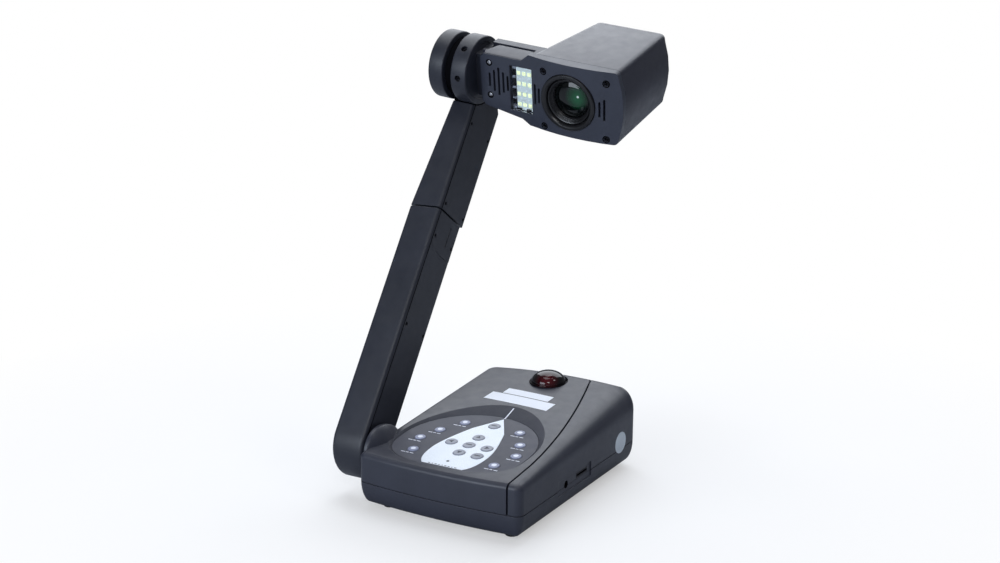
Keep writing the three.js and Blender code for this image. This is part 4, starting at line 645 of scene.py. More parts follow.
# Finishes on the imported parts


def soft_shading():
    """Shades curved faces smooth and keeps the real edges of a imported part."""
    group = bpy.data.node_groups.new("soft_shading", "GeometryNodeTree")
    group.interface.new_socket("Geometry", in_out="INPUT", socket_type="NodeSocketGeometry")
    group.interface.new_socket("Geometry", in_out="OUTPUT", socket_type="NodeSocketGeometry")
    start = group.nodes.new("NodeGroupInput")
    end = group.nodes.new("NodeGroupOutput")
    weld = group.nodes.new("GeometryNodeMergeByDistance")
    weld.inputs["Distance"].default_value = 0.000002
    faces = group.nodes.new("GeometryNodeSetShadeSmooth")
    faces.domain = "FACE"
    faces.inputs["Shade Smooth"].default_value = True
    edges = group.nodes.new("GeometryNodeSetShadeSmooth")
    edges.domain = "EDGE"
    edges.inputs["Shade Smooth"].default_value = False
    angle = group.nodes.new("GeometryNodeInputMeshEdgeAngle")
    sharp = group.nodes.new("FunctionNodeCompare")
    sharp.operation = "GREATER_THAN"
    sharp.inputs[1].default_value = math.radians(32)
    link = group.links.new
    link(start.outputs[0], weld.inputs["Geometry"])
    link(weld.outputs["Geometry"], faces.inputs["Geometry"])
    link(faces.outputs["Geometry"], edges.inputs["Geometry"])
    link(angle.outputs["Unsigned Angle"], sharp.inputs[0])
    link(sharp.outputs["Result"], edges.inputs["Selection"])
    link(edges.outputs["Geometry"], end.inputs[0])
    return group


SOFT_SHADING = soft_shading()

PART_FINISHES = {
    "base_lower_shell": HOUSING_DARK,
    "rear_port_plate": HOUSING_DARK,
    "control_overlay": MEMBRANE,
    "teardrop_inlay": PALE_MEMBRANE,
    "keypad_board": BOARD,
    "main_board": BOARD,
    "camera_board": BOARD,
    "receiver_dome": RECEIVER,
    # The jack is painted shade, so that it looks as a larger dark hole.
    "audio_jack": PAINTED_SHADE,
    "power_inlet": BLACK,
    "card_socket": BLACK_SCREW,
    "usb_socket": STEEL,
    "screen_socket": STEEL,
    "video_socket": BRASS,
    "arm_pivot_bush": BRASS,
    "arm_pivot_shaft": STEEL,
    "arm_friction_washer": BLACK,
    "swivel_shaft": STEEL,
    "swivel_washer": BLACK,
    "swivel_nut": STEEL,
    "hinge_pin": STEEL,
    # The tongue in the hinge's gap is painted shade.
    "hinge_tongue": PAINTED_SHADE,
    "lower_arm_shell": ARM_PLASTIC,
    "lower_arm_cover": ARM_PLASTIC,
    "lower_arm_end_block": ARM_PLASTIC,
    "upper_arm_shell": ARM_PLASTIC,
    "upper_arm_cover": ARM_PLASTIC,
    "face_plate": FACE_PLASTIC,
    "neck_rear_cover": HEAD_PLASTIC,
    "head_shell": HEAD_PLASTIC,
    "lens_bezel": LENS_BLACK,
    "lens_tube": LENS_BLACK,
    "lens_glass": LENS_GLASS,
    "zoom_module": BLACK,
    "lamp_window": PANE,
    "lamp_board": WHITE_BOARD,
}

PALE_KEYS = {"menu_key", "up_key", "left_key", "enter_key", "right_key", "down_key", "return_key"}


def finish_packed_parts():
    for name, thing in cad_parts.items():
        finish = PART_FINISHES.get(name, HOUSING)
        if name.endswith("_foot"):
            finish = RUBBER
        if name.endswith("_key"):
            finish = KEY_ON_PALE if name in PALE_KEYS else KEY_ON_DARK
        thing.data.materials.clear()
        thing.data.materials.append(finish)
        shading = thing.modifiers.new("soft_shading", "NODES")
        shading.node_group = SOFT_SHADING


# The base's housing


def top_height(x, y):
    """Height of the crowned, sloping top over a point of the plan."""
    aside = 2 * x / BASE_WIDTH - 1
    return FRONT_HEIGHT + TOP_SLOPE * y + REAR_CROWN * y / BASE_DEPTH * (1 - aside * aside)


def panel_height(x, y):
    """Height of the sunken panel, which slopes without a crown."""
    return FRONT_HEIGHT + TOP_SLOPE * y - PANEL_SUNK


PANEL_END = PANEL_CENTRE[1] + PANEL_REAR
RECESS = top_height(PANEL_CENTRE[0], PANEL_END) - panel_height(0, PANEL_END)
DOME_SEAT = BASE @ shift(*DOME, top_height(*DOME))
PIVOT_AXIS = BASE @ shift(0, PIVOT[1], PIVOT[2]) @ AXIS_TURN["x"]


def plan_corner(side, inset, turn):
    """A corner of the base's plan, drawn in by the fillets of the two sides that meet there."""
    before, after = SIDE_FILLETS[side]
    insets = [inset + fillet * turn for fillet in (before, after)]
    inset_x, inset_y = insets if side % 2 == 0 else insets[::-1]
    radius = max(CORNER_RADII[side] - (inset_x + inset_y) / 2, SMALLEST_CORNER)
    x = BASE_WIDTH - inset_x - radius if side in (1, 2) else inset_x + radius
    y = BASE_DEPTH - inset_y - radius if side > 1 else inset_y + radius
    return x, y, radius


def base_plan(inset, turn, corner_steps=12, side_steps=28):
    """Plan of the base as (x, y, fillet), with a bowed front, at a share of the turn of its fillets."""
    corners = [plan_corner(side, inset, turn) for side in range(4)]
    plan = []
    for side, (cx, cy, radius) in enumerate(corners):
        before, after = SIDE_FILLETS[side]
        later = SIDE_FILLETS[(side + 1) % 4][0]
        start = 180 + 90 * side
        for k in range(corner_steps + 1):
            share = k / corner_steps
            angle = math.radians(start + 90 * share)
            x, y = cx + radius * math.cos(angle), cy + radius * math.sin(angle)
            plan.append((x, y, before + (after - before) * share))
        nx, ny, next_radius = corners[(side + 1) % 4]
        angle = math.radians(start + 90)
        x0, y0, _ = plan[-1]
        x1, y1 = nx + next_radius * math.cos(angle), ny + next_radius * math.sin(angle)
        for k in range(1, side_steps):
            share = k / side_steps
            bow = FRONT_BOW * (1 - (2 * share - 1) ** 2) if side == 0 else 0
            fillet = after + (later - after) * share
            plan.append((x0 + (x1 - x0) * share, y0 + (y1 - y0) * share - bow, fillet))
    return plan


def plan_ring(inset, turn, height):
    return [(x, y, height(x, y, fillet)) for x, y, fillet in base_plan(inset, turn)]


def top_block_rings():
    """Rings from the seam up over the edge fillets and in over the crowned top."""
    steps, lip = 10, 0.5
    low = SEAM_HEIGHT + SEAM_GAP
    rings = [plan_ring(lip, 0, lambda x, y, f: low), plan_ring(0, 0, lambda x, y, f: low + lip)]
    for k in range(steps + 1):
        angle = k / steps * math.pi / 2
        drop = lambda x, y, f: top_height(x, y) - f * (1 - math.sin(angle))
        rings.append(plan_ring(0, 1 - math.cos(angle), drop))
    edge = rings[-1]
    for share in (0.93, 0.8, 0.65, 0.5, 0.35, 0.2, 0.08):
        ring = []
        for x, y, _ in edge:
            px = BASE_WIDTH / 2 + (x - BASE_WIDTH / 2) * share
            py = BASE_DEPTH / 2 + (y - BASE_DEPTH / 2) * share
            ring.append((px, py, top_height(px, py)))
        rings.append(ring)
    return rings


def egg(spread, rear_spread, over, sides=160):
    """Outline of the panel, spread by so much, at a height over the panel. Its front is squarer."""
    ring = []
    for i in range(sides):
        angle = 2 * math.pi * i / sides
        cos, sin = math.cos(angle), math.sin(angle)
        power = 1 if sin > 0 else 2 / 3
        reach = PANEL_REAR + rear_spread if sin > 0 else PANEL_FRONT + spread
        x = PANEL_CENTRE[0] + math.copysign((PANEL_HALF_WIDTH + spread) * abs(cos) ** power, cos)
        y = PANEL_CENTRE[1] + math.copysign(reach * abs(sin) ** power, sin)
        ring.append((x, y, panel_height(x, y) + over))
    return ring


def panel_hollow():
    """The sunken panel as a cutter: its level floor, then the sloping wall."""
    rise = RECESS + 4
    share = rise / RECESS
    under = OVERLAY_THICKNESS + 0.3
    rings = [egg(0, 0, -under), egg(0, 0, 0), egg(RIM_SPREAD * share, RIM_REAR_SPREAD * share, rise)]
    points, faces = ring_skin(rings)
    return cutter("panel_hollow", points, faces, BASE)


def mat_recess_wall(thing):
    """Gives the sloping wall round the panel its matt finish."""
    thing.data.materials.append(RECESS_PLASTIC)
    index = len(thing.data.materials) - 1
    to_base = BASE.inverted()
    reach_aside, reach_back = PANEL_HALF_WIDTH + 11, PANEL_END + RIM_REAR_SPREAD + 4
    for face in thing.data.polygons:
        x, y, z = to_base @ (face.center / MM)
        near_panel = abs(x - PANEL_CENTRE[0]) < reach_aside and y < reach_back
        in_recess = panel_height(x, y) - 0.02 < z < top_height(x, y) - 0.08
        if near_panel and in_recess and face.normal.z > 0.5:
            face.material_index = index


def seam_points(offset):
    """Seam of the side cover, front to rear, as plan points."""
    steps = 32
    line = [(SEAM_FRONT + offset, -SEAM_OVERRUN)]
    for k in range(steps, 0, -1):
        x = quadratic(SEAM_REAR, SEAM_BEND, SEAM_FRONT, k / steps)
        y = quadratic(BASE_DEPTH, SEAM_BEND_MIDDLE, SEAM_BEND_START, k / steps)
        line.append((x + offset, y))
    line.append((SEAM_REAR + offset, BASE_DEPTH + SEAM_OVERRUN))
    return line


def seam_cutter(offset, side):
    """All of the base on one side of the seam."""
    far = BASE_WIDTH + 30 if side == "right" else -40
    outline = seam_points(offset) + [(far, BASE_DEPTH + SEAM_OVERRUN), (far, -SEAM_OVERRUN)]
    points, faces = ring_skin([[(x, y, h) for x, y in outline] for h in (-10, 140)])
    return cutter("seam_" + side, points, faces, BASE)


def pivot_fairing():
    """The swelling beside the arm's foot, drawn out to the rear."""
    radius, wall, rise, power, sides = 26, 4, 15.5, 1.6, 96
    rear_stretch, front_stretch = 1.42, 1.06
    rows = [(0.01, 0.4), (radius, 0.4), (radius, wall)]
    for k in range(1, 22):
        turn = math.radians(4 * k)
        rows.append((radius * math.cos(turn) ** power, wall + rise * math.sin(turn) ** power))
    rows.append((0.01, wall + rise))
    rings = []
    for reach, out in rows:
        ring = circle(reach, out, sides)
        rings.append([(x * (rear_stretch if x > 0 else front_stretch), y, z) for x, y, z in ring])
    points, faces = ring_skin(rings)
    return cutter("pivot_fairing", points, faces, PIVOT_AXIS)


def base_top_and_side_cover():
    """The housing's top and its side cover: one block with the panel, parted along the seam."""
    points, faces = ring_skin(top_block_rings())
    top = mesh_piece("base_top", points, faces, BASE, None, HOUSING)
    carve(top, [panel_hollow()])
    cover = in_scene("side_cover_skin", top.data.copy())

    carve(top, [seam_cutter(-0.55, "right")])
    carve(top, [pivot_fairing()], "UNION")
    below = box_cutter("below", (-40, -20, -40), (240, 320, SEAM_HEIGHT + SEAM_GAP), BASE)
    rear_ports = box_cutter("rear_ports", (34, BASE_DEPTH - 14, 34.5), (132, BASE_DEPTH + OVERRUN, 54), BASE)
    bush = bar_cutter("bush_bore", 12.3, -20, 13, PIVOT_AXIS)
    seat = bar_cutter("dome_seat", 23.2, -2, 40, DOME_SEAT, sides=96)
    carve(top, [below, rear_ports, bush, seat])
    mat_recess_wall(top)

    half_wide, half_high = 13.3, 2.8
    low = (BASE_WIDTH - 20, CARD[0] - half_wide, CARD[1] - half_high)
    high = (BASE_WIDTH + OVERRUN, CARD[0] + half_wide, CARD[1] + half_high)
    card = box_cutter("card_hole", low, high, BASE)
    carve(cover, [seam_cutter(1.4, "left"), *side_port_cutters(), card, seal_seat()])
    for thing, node in ((top, "base_upper_shell"), (cover, "side_cover")):
        resmooth(thing, 28)
        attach(thing, "base")
        stand_for(node)


def side_port_cutters():
    """The shallow field of the side sockets, which lies across the seam, and the hole for the jack."""
    far = BASE_WIDTH + OVERRUN
    field = box_cutter("port_field", (BASE_WIDTH - 1.2, 82, 25), (far, 160, 42), BASE)
    jack = bar_cutter("jack_hole", 4.3, BASE_WIDTH - 30, far, BASE @ shift(0, *JACK), "x")
    return [field, jack]


def tray_openings():
    """Seats of the feet, wells of the screws and the vents in the tray's floor."""
    tools = []
    for foot_x, well_x in zip(FOOT_PLACES_X, WELL_PLACES_X):
        for y in FOOT_PLACES_Y:
            tools.append(bar_cutter("foot_seat", 8.3, 0, 8.8, BASE @ shift(foot_x, y, 0)))
            tools.append(bar_cutter("screw_well", 4.2, 0, 12, BASE @ shift(well_x, y, 0)))
    for k in range(7):
        x = 74 + 8 * k
        tools.append(box_cutter("floor_vent", (x, 120, 0), (x + 3, 168, 8.6), BASE))
    return tools


def base_bottom():
    """The lower tray, its wall turned in towards the floor."""
    steps, lip = 12, 1.4
    rings = []
    for k in range(steps + 1):
        angle = k / steps * math.pi / 2
        height = FLOOR_HEIGHT + (SEAM_HEIGHT - FLOOR_HEIGHT) * (1 - math.cos(angle))
        rings.append(plan_ring(BOTTOM_INSET * (1 - math.sin(angle)), 0, lambda x, y, f: height))
    rings.append(plan_ring(lip, 0, lambda x, y, f: SEAM_HEIGHT))
    rings.append(plan_ring(lip, 0, lambda x, y, f: SEAM_HEIGHT + SEAM_GAP - 0.1))
    points, faces = ring_skin(rings)
    tray = mesh_piece("base_tray", points, faces, BASE, None, HOUSING_DARK)
    carve(tray, tray_openings() + side_port_cutters() + [seal_seat()])
    resmooth(tray, 28)
    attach(tray, "base")
    stand_for("base_lower_shell")
    for x in WELL_PLACES_X:
        for y in FOOT_PLACES_Y:
            screw_head("floor_screw", 3.2, BASE @ shift(x, y, 10.5) @ turn_x(180), "base", BLACK_SCREW)


def screw_head(name, radius, place, body, finish, proud=1.1, shank=0.6):
    """A low round screw head with a cross recess. It looks along its own upward axis."""
    rings, sides = 12, 40
    half_slot, slot_reach = 0.2 * radius, 0.66 * radius
    points = []
    for k in range(rings + 1):
        share = k / rings
        for x, y, _ in circle(radius * share, 0, sides):
            height = proud * (1 - 0.35 * share**3)
            if min(abs(x), abs(y)) < half_slot and max(abs(x), abs(y)) < slot_reach:
                height -= 0.75 * proud
            points.append((x, y, height))
    points += circle(radius, -shank, sides)
    return mesh_piece(name, points, turned_faces(rings + 2, sides), place, body, finish, 40)


# Printed marks, labels and the dome on the base


def on_surface(name, outline, height, finish, body="base", lift=0.12, thick=0.1):
    """A thin flat mark that follows a surface: outline in plan, height(x, y) of what it lies on."""
    top = [(x, y, height(x, y) + lift) for x, y in outline]
    low = [(x, y, height(x, y) + lift - thick) for x, y in outline]
    points, faces = ring_skin([low, top])
    return mesh_piece(name, points, faces, BASE, body, finish)


def rotated(points, x, y, angle=0.0):
    """Plan points turned about their origin and moved to a place."""
    c, s = math.cos(math.radians(angle)), math.sin(math.radians(angle))
    return [(x + px * c - py * s, y + px * s + py * c) for px, py in points]


def oval(rx, ry, sides=40):
    return [(rx * x, ry * y) for x, y, _ in circle(1, 0, sides)]


def bar(half_length, half_width):
    """Plan of a bar about its middle."""
    x, y = half_length, half_width
    return [(-x, -y), (x, -y), (x, y), (-x, y)]


ARROW = [(0, 3.1), (-2.9, -1.9), (2.9, -1.9)]
ARROW_TURNS = {"up_key": 0, "left_key": 90, "down_key": 180, "right_key": 270}
KEY_HEIGHT = 0.9
KEY_MIDDLE = 98.5


def key_frames():
    """Each key's place on the panel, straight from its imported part."""
    places = {}
    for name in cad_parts:
        if name.endswith("_key"):
            low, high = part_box(name)
            middle = (low + high) / 2 / MM - BASE_CORNER
            places[name] = (middle.x, middle.y)
    return places


def key_top(x, y):
    return panel_height(x, y) + KEY_HEIGHT


def key_marks():
    """Arrows and bars on the teardrop's keys, spots on the others, each with a caption of three bars."""
    for name, (x, y) in key_frames().items():
        body = name + "_body"
        if name in ARROW_TURNS:
            arrow = rotated(ARROW, x, y, ARROW_TURNS[name])
            on_surface(name + "_arrow", arrow, key_top, INK_DARK, body)
        elif name in PALE_KEYS:
            on_surface(name + "_bar", rotated(bar(3.6, 0.9), x, y), key_top, INK_DARK, body)
        else:
            on_surface(name + "_spot", rotated(oval(2.9, 2.7), x, y), key_top, INK_PALE, body)
            middle = x - 1.5 if x < KEY_MIDDLE else x + 1.5
            for k, half in enumerate((2.6, 1.7, 2.3)):
                caption = rotated(bar(half, 0.5), middle + (k - 1) * 5.4, y - 9.2)
                on_surface(name + "_caption", caption, panel_height, INK_PALE)


def teardrop_marks():
    """A row of short bars at the teardrop's foot and one small dot."""
    for k in range(9):
        outline = rotated(bar((1.1, 0.7, 1.4)[k % 3], 0.55), KEY_MIDDLE - 16 + 4 * k, 14.5)
        on_surface("teardrop_caption", outline, panel_height, INK_DARK)
    dot = rotated(oval(1.5, 1.5, 24), KEY_MIDDLE, 25.5)
    on_surface("lamp_dot", dot, panel_height, INK_DARK, thick=1.2)


def thickened(thing, thickness):
    """Gives a sheet its thickness, in metres."""
    sheet = thing.modifiers.new("thickness", "SOLIDIFY")
    sheet.thickness = thickness


def tip_line():
    """Pale line that carries the teardrop's tip up the sloping wall of the panel."""
    steps, half, lift = 10, 0.7, 0.15
    points = []
    for k in range(steps + 1):
        y = PANEL_END - 3 + k / steps * (RIM_REAR_SPREAD + 1.5)
        wall = min(max((y - PANEL_END) / RIM_REAR_SPREAD, 0), 1)
        z = panel_height(KEY_MIDDLE, y) + RECESS * wall + lift
        points += [(KEY_MIDDLE - half, y, z), (KEY_MIDDLE + half, y, z)]
    faces = [(2 * k, 2 * k + 1, 2 * k + 3, 2 * k + 2) for k in range(steps)]
    thickened(mesh_piece("tip_line", points, faces, BASE, "base", INK_PALE), 0.0003)


def blank_label(name, x, y, width, depth, angle, lift):
    """A plain paper label that follows the crowned top."""
    columns, rows = 24, 6
    grid = []
    for j in range(rows + 1):
        for i in range(columns + 1):
            grid.append(((i / columns - 0.5) * width, (j / rows - 0.5) * depth))
    points = [(px, py, top_height(px, py) + lift) for px, py in rotated(grid, x, y, angle)]
    faces = []
    for j in range(rows):
        for i in range(columns):
            a = j * (columns + 1) + i
            faces.append((a, a + 1, a + columns + 2, a + columns + 1))
    thickened(mesh_piece(name, points, faces, BASE, "base", LABEL_PAPER), 0.00015)


SEAL_PLACE = BASE @ shift(BASE_WIDTH, 237, 39.8) @ AXIS_TURN["x"]
SEAL_SIZE = (14.2, 12.4)


def seal_rings(rows):
    """Oval rings about the seal's middle: rows of (how far in from the edge, distance out of the wall)."""
    wide, high = SEAL_SIZE
    return [[(x, y, out) for x, y in oval(wide - inset, high - inset, 72)] for inset, out in rows]


def seal_seat():
    """The seal lies in a seat as deep as the film is thick."""
    points, faces = ring_skin(seal_rings([(-0.15, -0.14), (-0.15, 8)]))
    return cutter("seal_seat", points, faces, SEAL_PLACE)


def side_seal():
    """A plain oval film stuck on the side of the housing."""
    rows = [(0, -0.13), (0, -0.03), (0.1, 0.0), (2.6, 0.0), (2.7, -0.04), (3.1, -0.04), (3.2, 0.0)]
    points, faces = ring_skin(seal_rings(rows))
    mesh_piece("side_seal", points, faces, SEAL_PLACE, "base", SEAL_FILM)


def receiver_window():
    """Glossy dome with a low flange under the edge of its seat."""
    radius, height = 20.5, 13
    rows = [(0.01, -1.7), (radius + 2.4, -1.7), (radius + 2.4, -0.6), (radius + 2.1, -0.3), (radius, -0.3)]
    for k in range(1, 30):
        turn = math.radians(3 * k)
        rows.append((radius * math.cos(turn), height * math.sin(turn)))
    rows.append((0.01, height))
    dome = turned("receiver_window", rows, "z", DOME_SEAT, "base", RECEIVER, 96, 40)
    stand_for("receiver_dome")


# The beams of the arm


def arm_screws():
    """Four screws in the right side of each beam."""
    front, rear = -ARM_HALF_DEPTH + 9.5, ARM_HALF_DEPTH - 4.8
    lower = [(y, z) for z in (ARM_SCREW_LOW, 249) for y in (front, rear)]
    upper = [(y, z) for z in (9.5, 114) for y in (front, rear + 5)]
    for arm, body, places in ((LOWER_ARM, "lower_arm", lower), (UPPER_ARM, "upper_arm", upper)):
        for y, z in places:
            place = arm @ shift(ARM_RIGHT - 1.5, y, z) @ turn_y(90)
            screw_head("arm_screw", 1.9, place, body, BLACK_SCREW, 0.7)


def beam_block(name):
    """The lower beam as one block whose soft long edges run on round the foot."""
    edge, heel = 5, 12
    rings = []
    for first, side in ((0, 1), (90, -1)):
        for step in range(first, first + 91, 10):
            angle = math.radians(step)
            inset = edge * (1 - math.sin(angle))
            flank = ARM_RIGHT - ARM_WIDTH if side == 1 else ARM_RIGHT
            x = flank + edge * (side - math.cos(angle))
            low = (-ARM_HALF_DEPTH + inset, ARM_FOOT + inset)
            high = (ARM_HALF_DEPTH - inset / 2, ARM_END + OVERRUN + 1)
            outline = rounded_outline(low, high, (FOOT_RADIUS - inset, heel - inset, 1, 1), 24)
            rings.append([(x, y, z) for y, z in outline])
    points, faces = ring_skin(rings)
    block = cutter(name, points, faces, LOWER_ARM)
    left, right = ACROSS_ARM
    return carve(block, [box_cutter("beam_end", (left, -40, ARM_END), (right, 40, 300), LOWER_ARM)])


def behind_cover(offset):
    """Everything in the lower beam behind its front cover, which wraps the round foot."""
    y, z = FOOT_MIDDLE
    reach = y - ARM_COVER_EDGE - offset
    side = [(ARM_COVER_EDGE + offset, 320)]
    for k in range(25):
        angle = math.radians(180 + 3.75 * k)
        side.append((y + reach * math.cos(angle), z + reach * math.sin(angle)))
    side += [(y, -60), (60, -60), (60, 320)]
    points, faces = prism(side, *ACROSS_ARM)
    return cutter("behind_cover", points, faces, LOWER_ARM)


def end_block_room():
    """Room for the end block at the elbow, which meets the shell in a curved joint."""
    steps = 16
    curve = [(-30, 240)]
    for k in range(steps + 1):
        share = k / steps
        curve.append((quadratic(ARM_COVER_EDGE, 0, ARM_HALF_DEPTH, share), quadratic(240, 228, 234, share)))
    curve += [(40, 234), (40, 300), (-30, 300)]
    points, faces = prism(curve, *ACROSS_ARM)
    return cutter("end_block_room", points, faces, LOWER_ARM)


def lower_beam():
    """Front cover and shell of the lower beam. The end block at the elbow stays as it is."""
    wells = []
    for y in (-ARM_HALF_DEPTH + 9.5, ARM_HALF_DEPTH - 4.8):
        place = LOWER_ARM @ shift(ARM_RIGHT, y, ARM_SCREW_LOW)
        wells.append(bar_cutter("screw_well", 2.4, -1.6, 5, place, "x"))
    front = beam_block("beam_cover")
    carve(front, [behind_cover(0)])
    shell = beam_block("beam_shell")
    carve(shell, [behind_cover(0.5)], "INTERSECT")
    carve(shell, [end_block_room(), *wells])
    for thing, node in ((front, "lower_arm_cover"), (shell, "lower_arm_shell")):
        thing.data.materials.clear()
        thing.data.materials.append(ARM_PLASTIC)
        resmooth(thing, 28)
        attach(thing, "lower_arm")
        stand_for(node)


def arm_seam_painted_shade():
    """Painted shade in the joint between the front cover and the shell of each beam: a dark strip in its
    groove.
    """
    front, width, depth, proud = ARM_COVER_EDGE - 0.4, 1.3, 0.35, 0.06
    for arm, body, start, end in ((LOWER_ARM, "lower_arm", 7, 278.6), (UPPER_ARM, "upper_arm", 1.6, 150)):
        low = (ARM_RIGHT - depth, front, start)
        high = (ARM_RIGHT + proud, front + width, end)
        box_piece("arm_seam_shade_strip", low, high, arm, body, PAINTED_SHADE)


# The hinge and the head


def edge_round(radius, at, rim, first):
    """Rows of a turned piece round its first or its last outer edge."""
    rows = []
    for k in range(7):
        angle = math.radians(15 * k)
        if first:
            rows.append((radius - rim + rim * math.sin(angle), at + rim - rim * math.cos(angle)))
        else:
            rows.append((radius - rim + rim * math.cos(angle), at - rim + rim * math.sin(angle)))
    return rows


def knob_disc():
    """The outer disc of the hinge, with a recess for the pin's head."""
    radius, rim, start, end = 40.27, 1.6, -24, -4.6
    rows = [(10.3, start + 6), (10.3, start + 0.6), (10.9, start)]
    rows += edge_round(radius, start, rim, True) + edge_round(radius, end, rim, False)
    rows += [(6.3, end), (6.3, start + 6), (10.3, start + 6)]
    disc = turned("knob_disc", rows, "x", HEAD, "camera_head", ARM_PLASTIC, 128)
    stand_for("hinge_knob")


def hub_disc():
    """The inner disc of the hinge with its collar on the neck's side and three wells in the rim."""
    radius, rim, start, end = 40.5, 1.6, 7, 27.6
    middle = (start + end) / 2
    rows = [(6.3, start + 0.01), (8, start)]
    rows += edge_round(radius, start, rim, True) + edge_round(radius, end, rim, False)
    rows += [(34, end), (33, end - 1.2), (12, end - 1.2), (11, end), (0.01, end)]
    rows += [(0.01, start + 4), (6.3, start + 4), (6.3, start + 0.01)]
    disc = turned("hub_disc", rows, "x", HEAD, None, ARM_PLASTIC, 128)
    carve(disc, [box_cutter("hub_collar", (end - 2, -12, -26), (33.2, 20, 26), HEAD)], "UNION")
    tools = []
    for angle in RIM_WELLS:
        place = HEAD @ turn_x(angle) @ shift(middle, -radius - 0.5, 0)
        tools.append(bar_cutter("rim_well", 3.8, -6, 5.5, place, "y"))
    carve(disc, tools)
    resmooth(disc, 30)
    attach(disc, "camera_head")
    stand_for("hinge_hub")
    for angle in RIM_WELLS:
        place = HEAD @ turn_x(angle) @ shift(middle, -radius + 4.5, 0) @ turn_x(90)
        screw_head("rim_screw", 2.6, place, "camera_head", BLACK_SCREW, 0.8)


LENS = HEAD @ shift(LENS_X, LENS_FACE, LENS_Z)


def lens_rings():
    """The outer ring and the barrel with its stepped inside."""
    rows = [(27.5, 9), (27.5, 1.4), (27.8, 0.4), (29.4, -1.2), (30, -1.6)]
    rows += [(32.4, -1.6), (33.3, -1.3), (34, -0.2), (34, 9), (27.5, 9)]
    ring = turned("lens_outer_ring", rows, "y", LENS, "camera_head", LENS_BLACK, 128)
    stand_for("lens_bezel")
    rows = [(18.5, 30), (18.5, 15.3), (22, 15.3), (22, 9.4), (22.4, 9.0), (22.8, 7.4)]
    for k in range(5):
        radius, depth = 23 + 0.55 * k, 7.2 - 1.0 * k
        rows += [(radius, depth), (radius + 0.4, depth - 0.2)]
    rows += [(25.9, 2.9), (26.4, 2.5), (27, 2.9), (27, 30), (18.5, 30)]
    barrel = turned("lens_barrel", rows, "y", LENS, "camera_head", LENS_BLACK, 128)
    stand_for("lens_tube")


def lens_element():
    """The front lens, whose face bulges forward over a flat edge."""
    radius, edge, bulge, opening = 21.2, 10, 4, 70
    least = math.cos(math.radians(opening))
    rows = [(0.01, 15), (21.4, 15), (21.4, 10.2), (radius, edge)]
    for k in range(1, 14):
        turn = math.radians(opening - 5 * k)
        rows.append((radius * math.sin(turn), edge - bulge * (math.cos(turn) - least) / (1 - least)))
    rows.append((0.01, edge - bulge))
    glass = turned("lens_element", rows, "y", LENS, "camera_head", LENS_GLASS, 128, 50)
    stand_for("lens_glass")


def lamp_chips():
    """Twelve small lamps on the board behind the window, as one piece."""
    board_face, half, pitch_x, pitch_z = -11.8, 2.25, 7, 13
    middle_x = (WINDOW_LOW[0] + WINDOW_HIGH[0] - BOARD_MARGIN) / 2
    middle_z = (WINDOW_LOW[1] + WINDOW_HIGH[1]) / 2
    points, faces = [], []
    for row in range(4):
        for column in range(3):
            x = middle_x + (column - 1) * pitch_x
            z = middle_z + (row - 1.5) * pitch_z
            first = len(points)
            for inset, proud in ((0.0, -0.02), (0.25, -0.3), (0.9, -0.42)):
                points += [(x + a, board_face + proud, z + b) for a, b in bar(half - inset, half - inset)]
            for k in range(2):
                for i in range(4):
                    a, b = first + 4 * k + i, first + 4 * k + (i + 1) % 4
                    faces.append((a, b, b + 4, a + 4))
            faces.append(tuple(first + 8 + i for i in range(4)))
            faces.append(tuple(first + 3 - i for i in range(4)))
    mesh_piece("lamp_chips", points, faces, HEAD, "camera_head", CHIP, 20)


def neck_top():
    """Web that closes most of the valley on the neck and leaves a narrow groove before the rear cover."""
    top, edge, front, fold, rear = 31.15, 30.03, -14.4, -9, 10
    plan = [(39.5, front, edge), (91.6, front, edge), (91.6, fold, top)]
    plan += [(91.6, rear, top), (45.5, rear, top), (37, fold, top)]
    behind = -7.9
    under = [(x, max(y, behind), 24.2 if y > behind else 29.9) for x, y, _ in plan]
    count = len(plan)
    faces = [(i, (i + 1) % count, (i + 1) % count + count, i + count) for i in range(count)]
    faces += [(0, 1, 2, 5), (5, 2, 3, 4), tuple(range(2 * count - 1, count - 1, -1))]
    mesh_piece("neck_top_web", plan + under, faces, HEAD, "camera_head", HEAD_PLASTIC)


def neck_slot_and_frame():
    """The last short vent slot beside the lamp window, as a dark sheet of painted shade, and the window's
    inner edge next to it.
    """
    half, reach, steps = 1.3, 9.4, 8
    outline = []
    for side in (1, -1):
        for k in range(steps + 1):
            angle = math.pi * k / steps
            along = reach - half + half * math.sin(angle)
            outline.append((69.6 + side * half * math.cos(angle), -2 + side * along))
    rings = [[(x, HEAD_FACE + depth, z) for x, z in outline] for depth in (-0.03, 0.2)]
    points, faces = ring_skin(rings)
    # The slot's hollow is painted shade on a thin sheet.
    mesh_piece("neck_last_slot_shade", points, faces, HEAD, "camera_head", PAINTED_SHADE)
    low, high = (70.95, HEAD_FACE + 0.02, -34.4), (72.6, HEAD_FACE + 6.9, 21.4)
    box_piece("window_edge", low, high, HEAD, "camera_head", FACE_PLASTIC)


def lamp_board_parts():
    """Pale ribs in the side of the window beside the lamps, and two dark blocks under their board."""
    for z in (18, 6.5, -6.5, -19.5, -31.5):
        low, high = (74.2, -11.2, z - 1.3), (78.6, -9.6, z + 1.3)
        box_piece("window_rib", low, high, HEAD, "camera_head", KEY_ON_PALE)
    for x in (82.6, 95.4):
        low, high = (x - 3.2, -12.1, -33.2), (x + 3.2, -10.9, -31)
        box_piece("board_block", low, high, HEAD, "camera_head", BLACK)


def painted_shade_rim(name, inner, outer, place):
    """Painted shade round a sunk screw, where its recess falls dark."""
    rows = [(inner, -0.04), (outer, -0.04), (outer, 0.4), (inner, 0.4), (inner, -0.04)]
    turned(name, rows, "y", place, "camera_head", PAINTED_SHADE, 48)


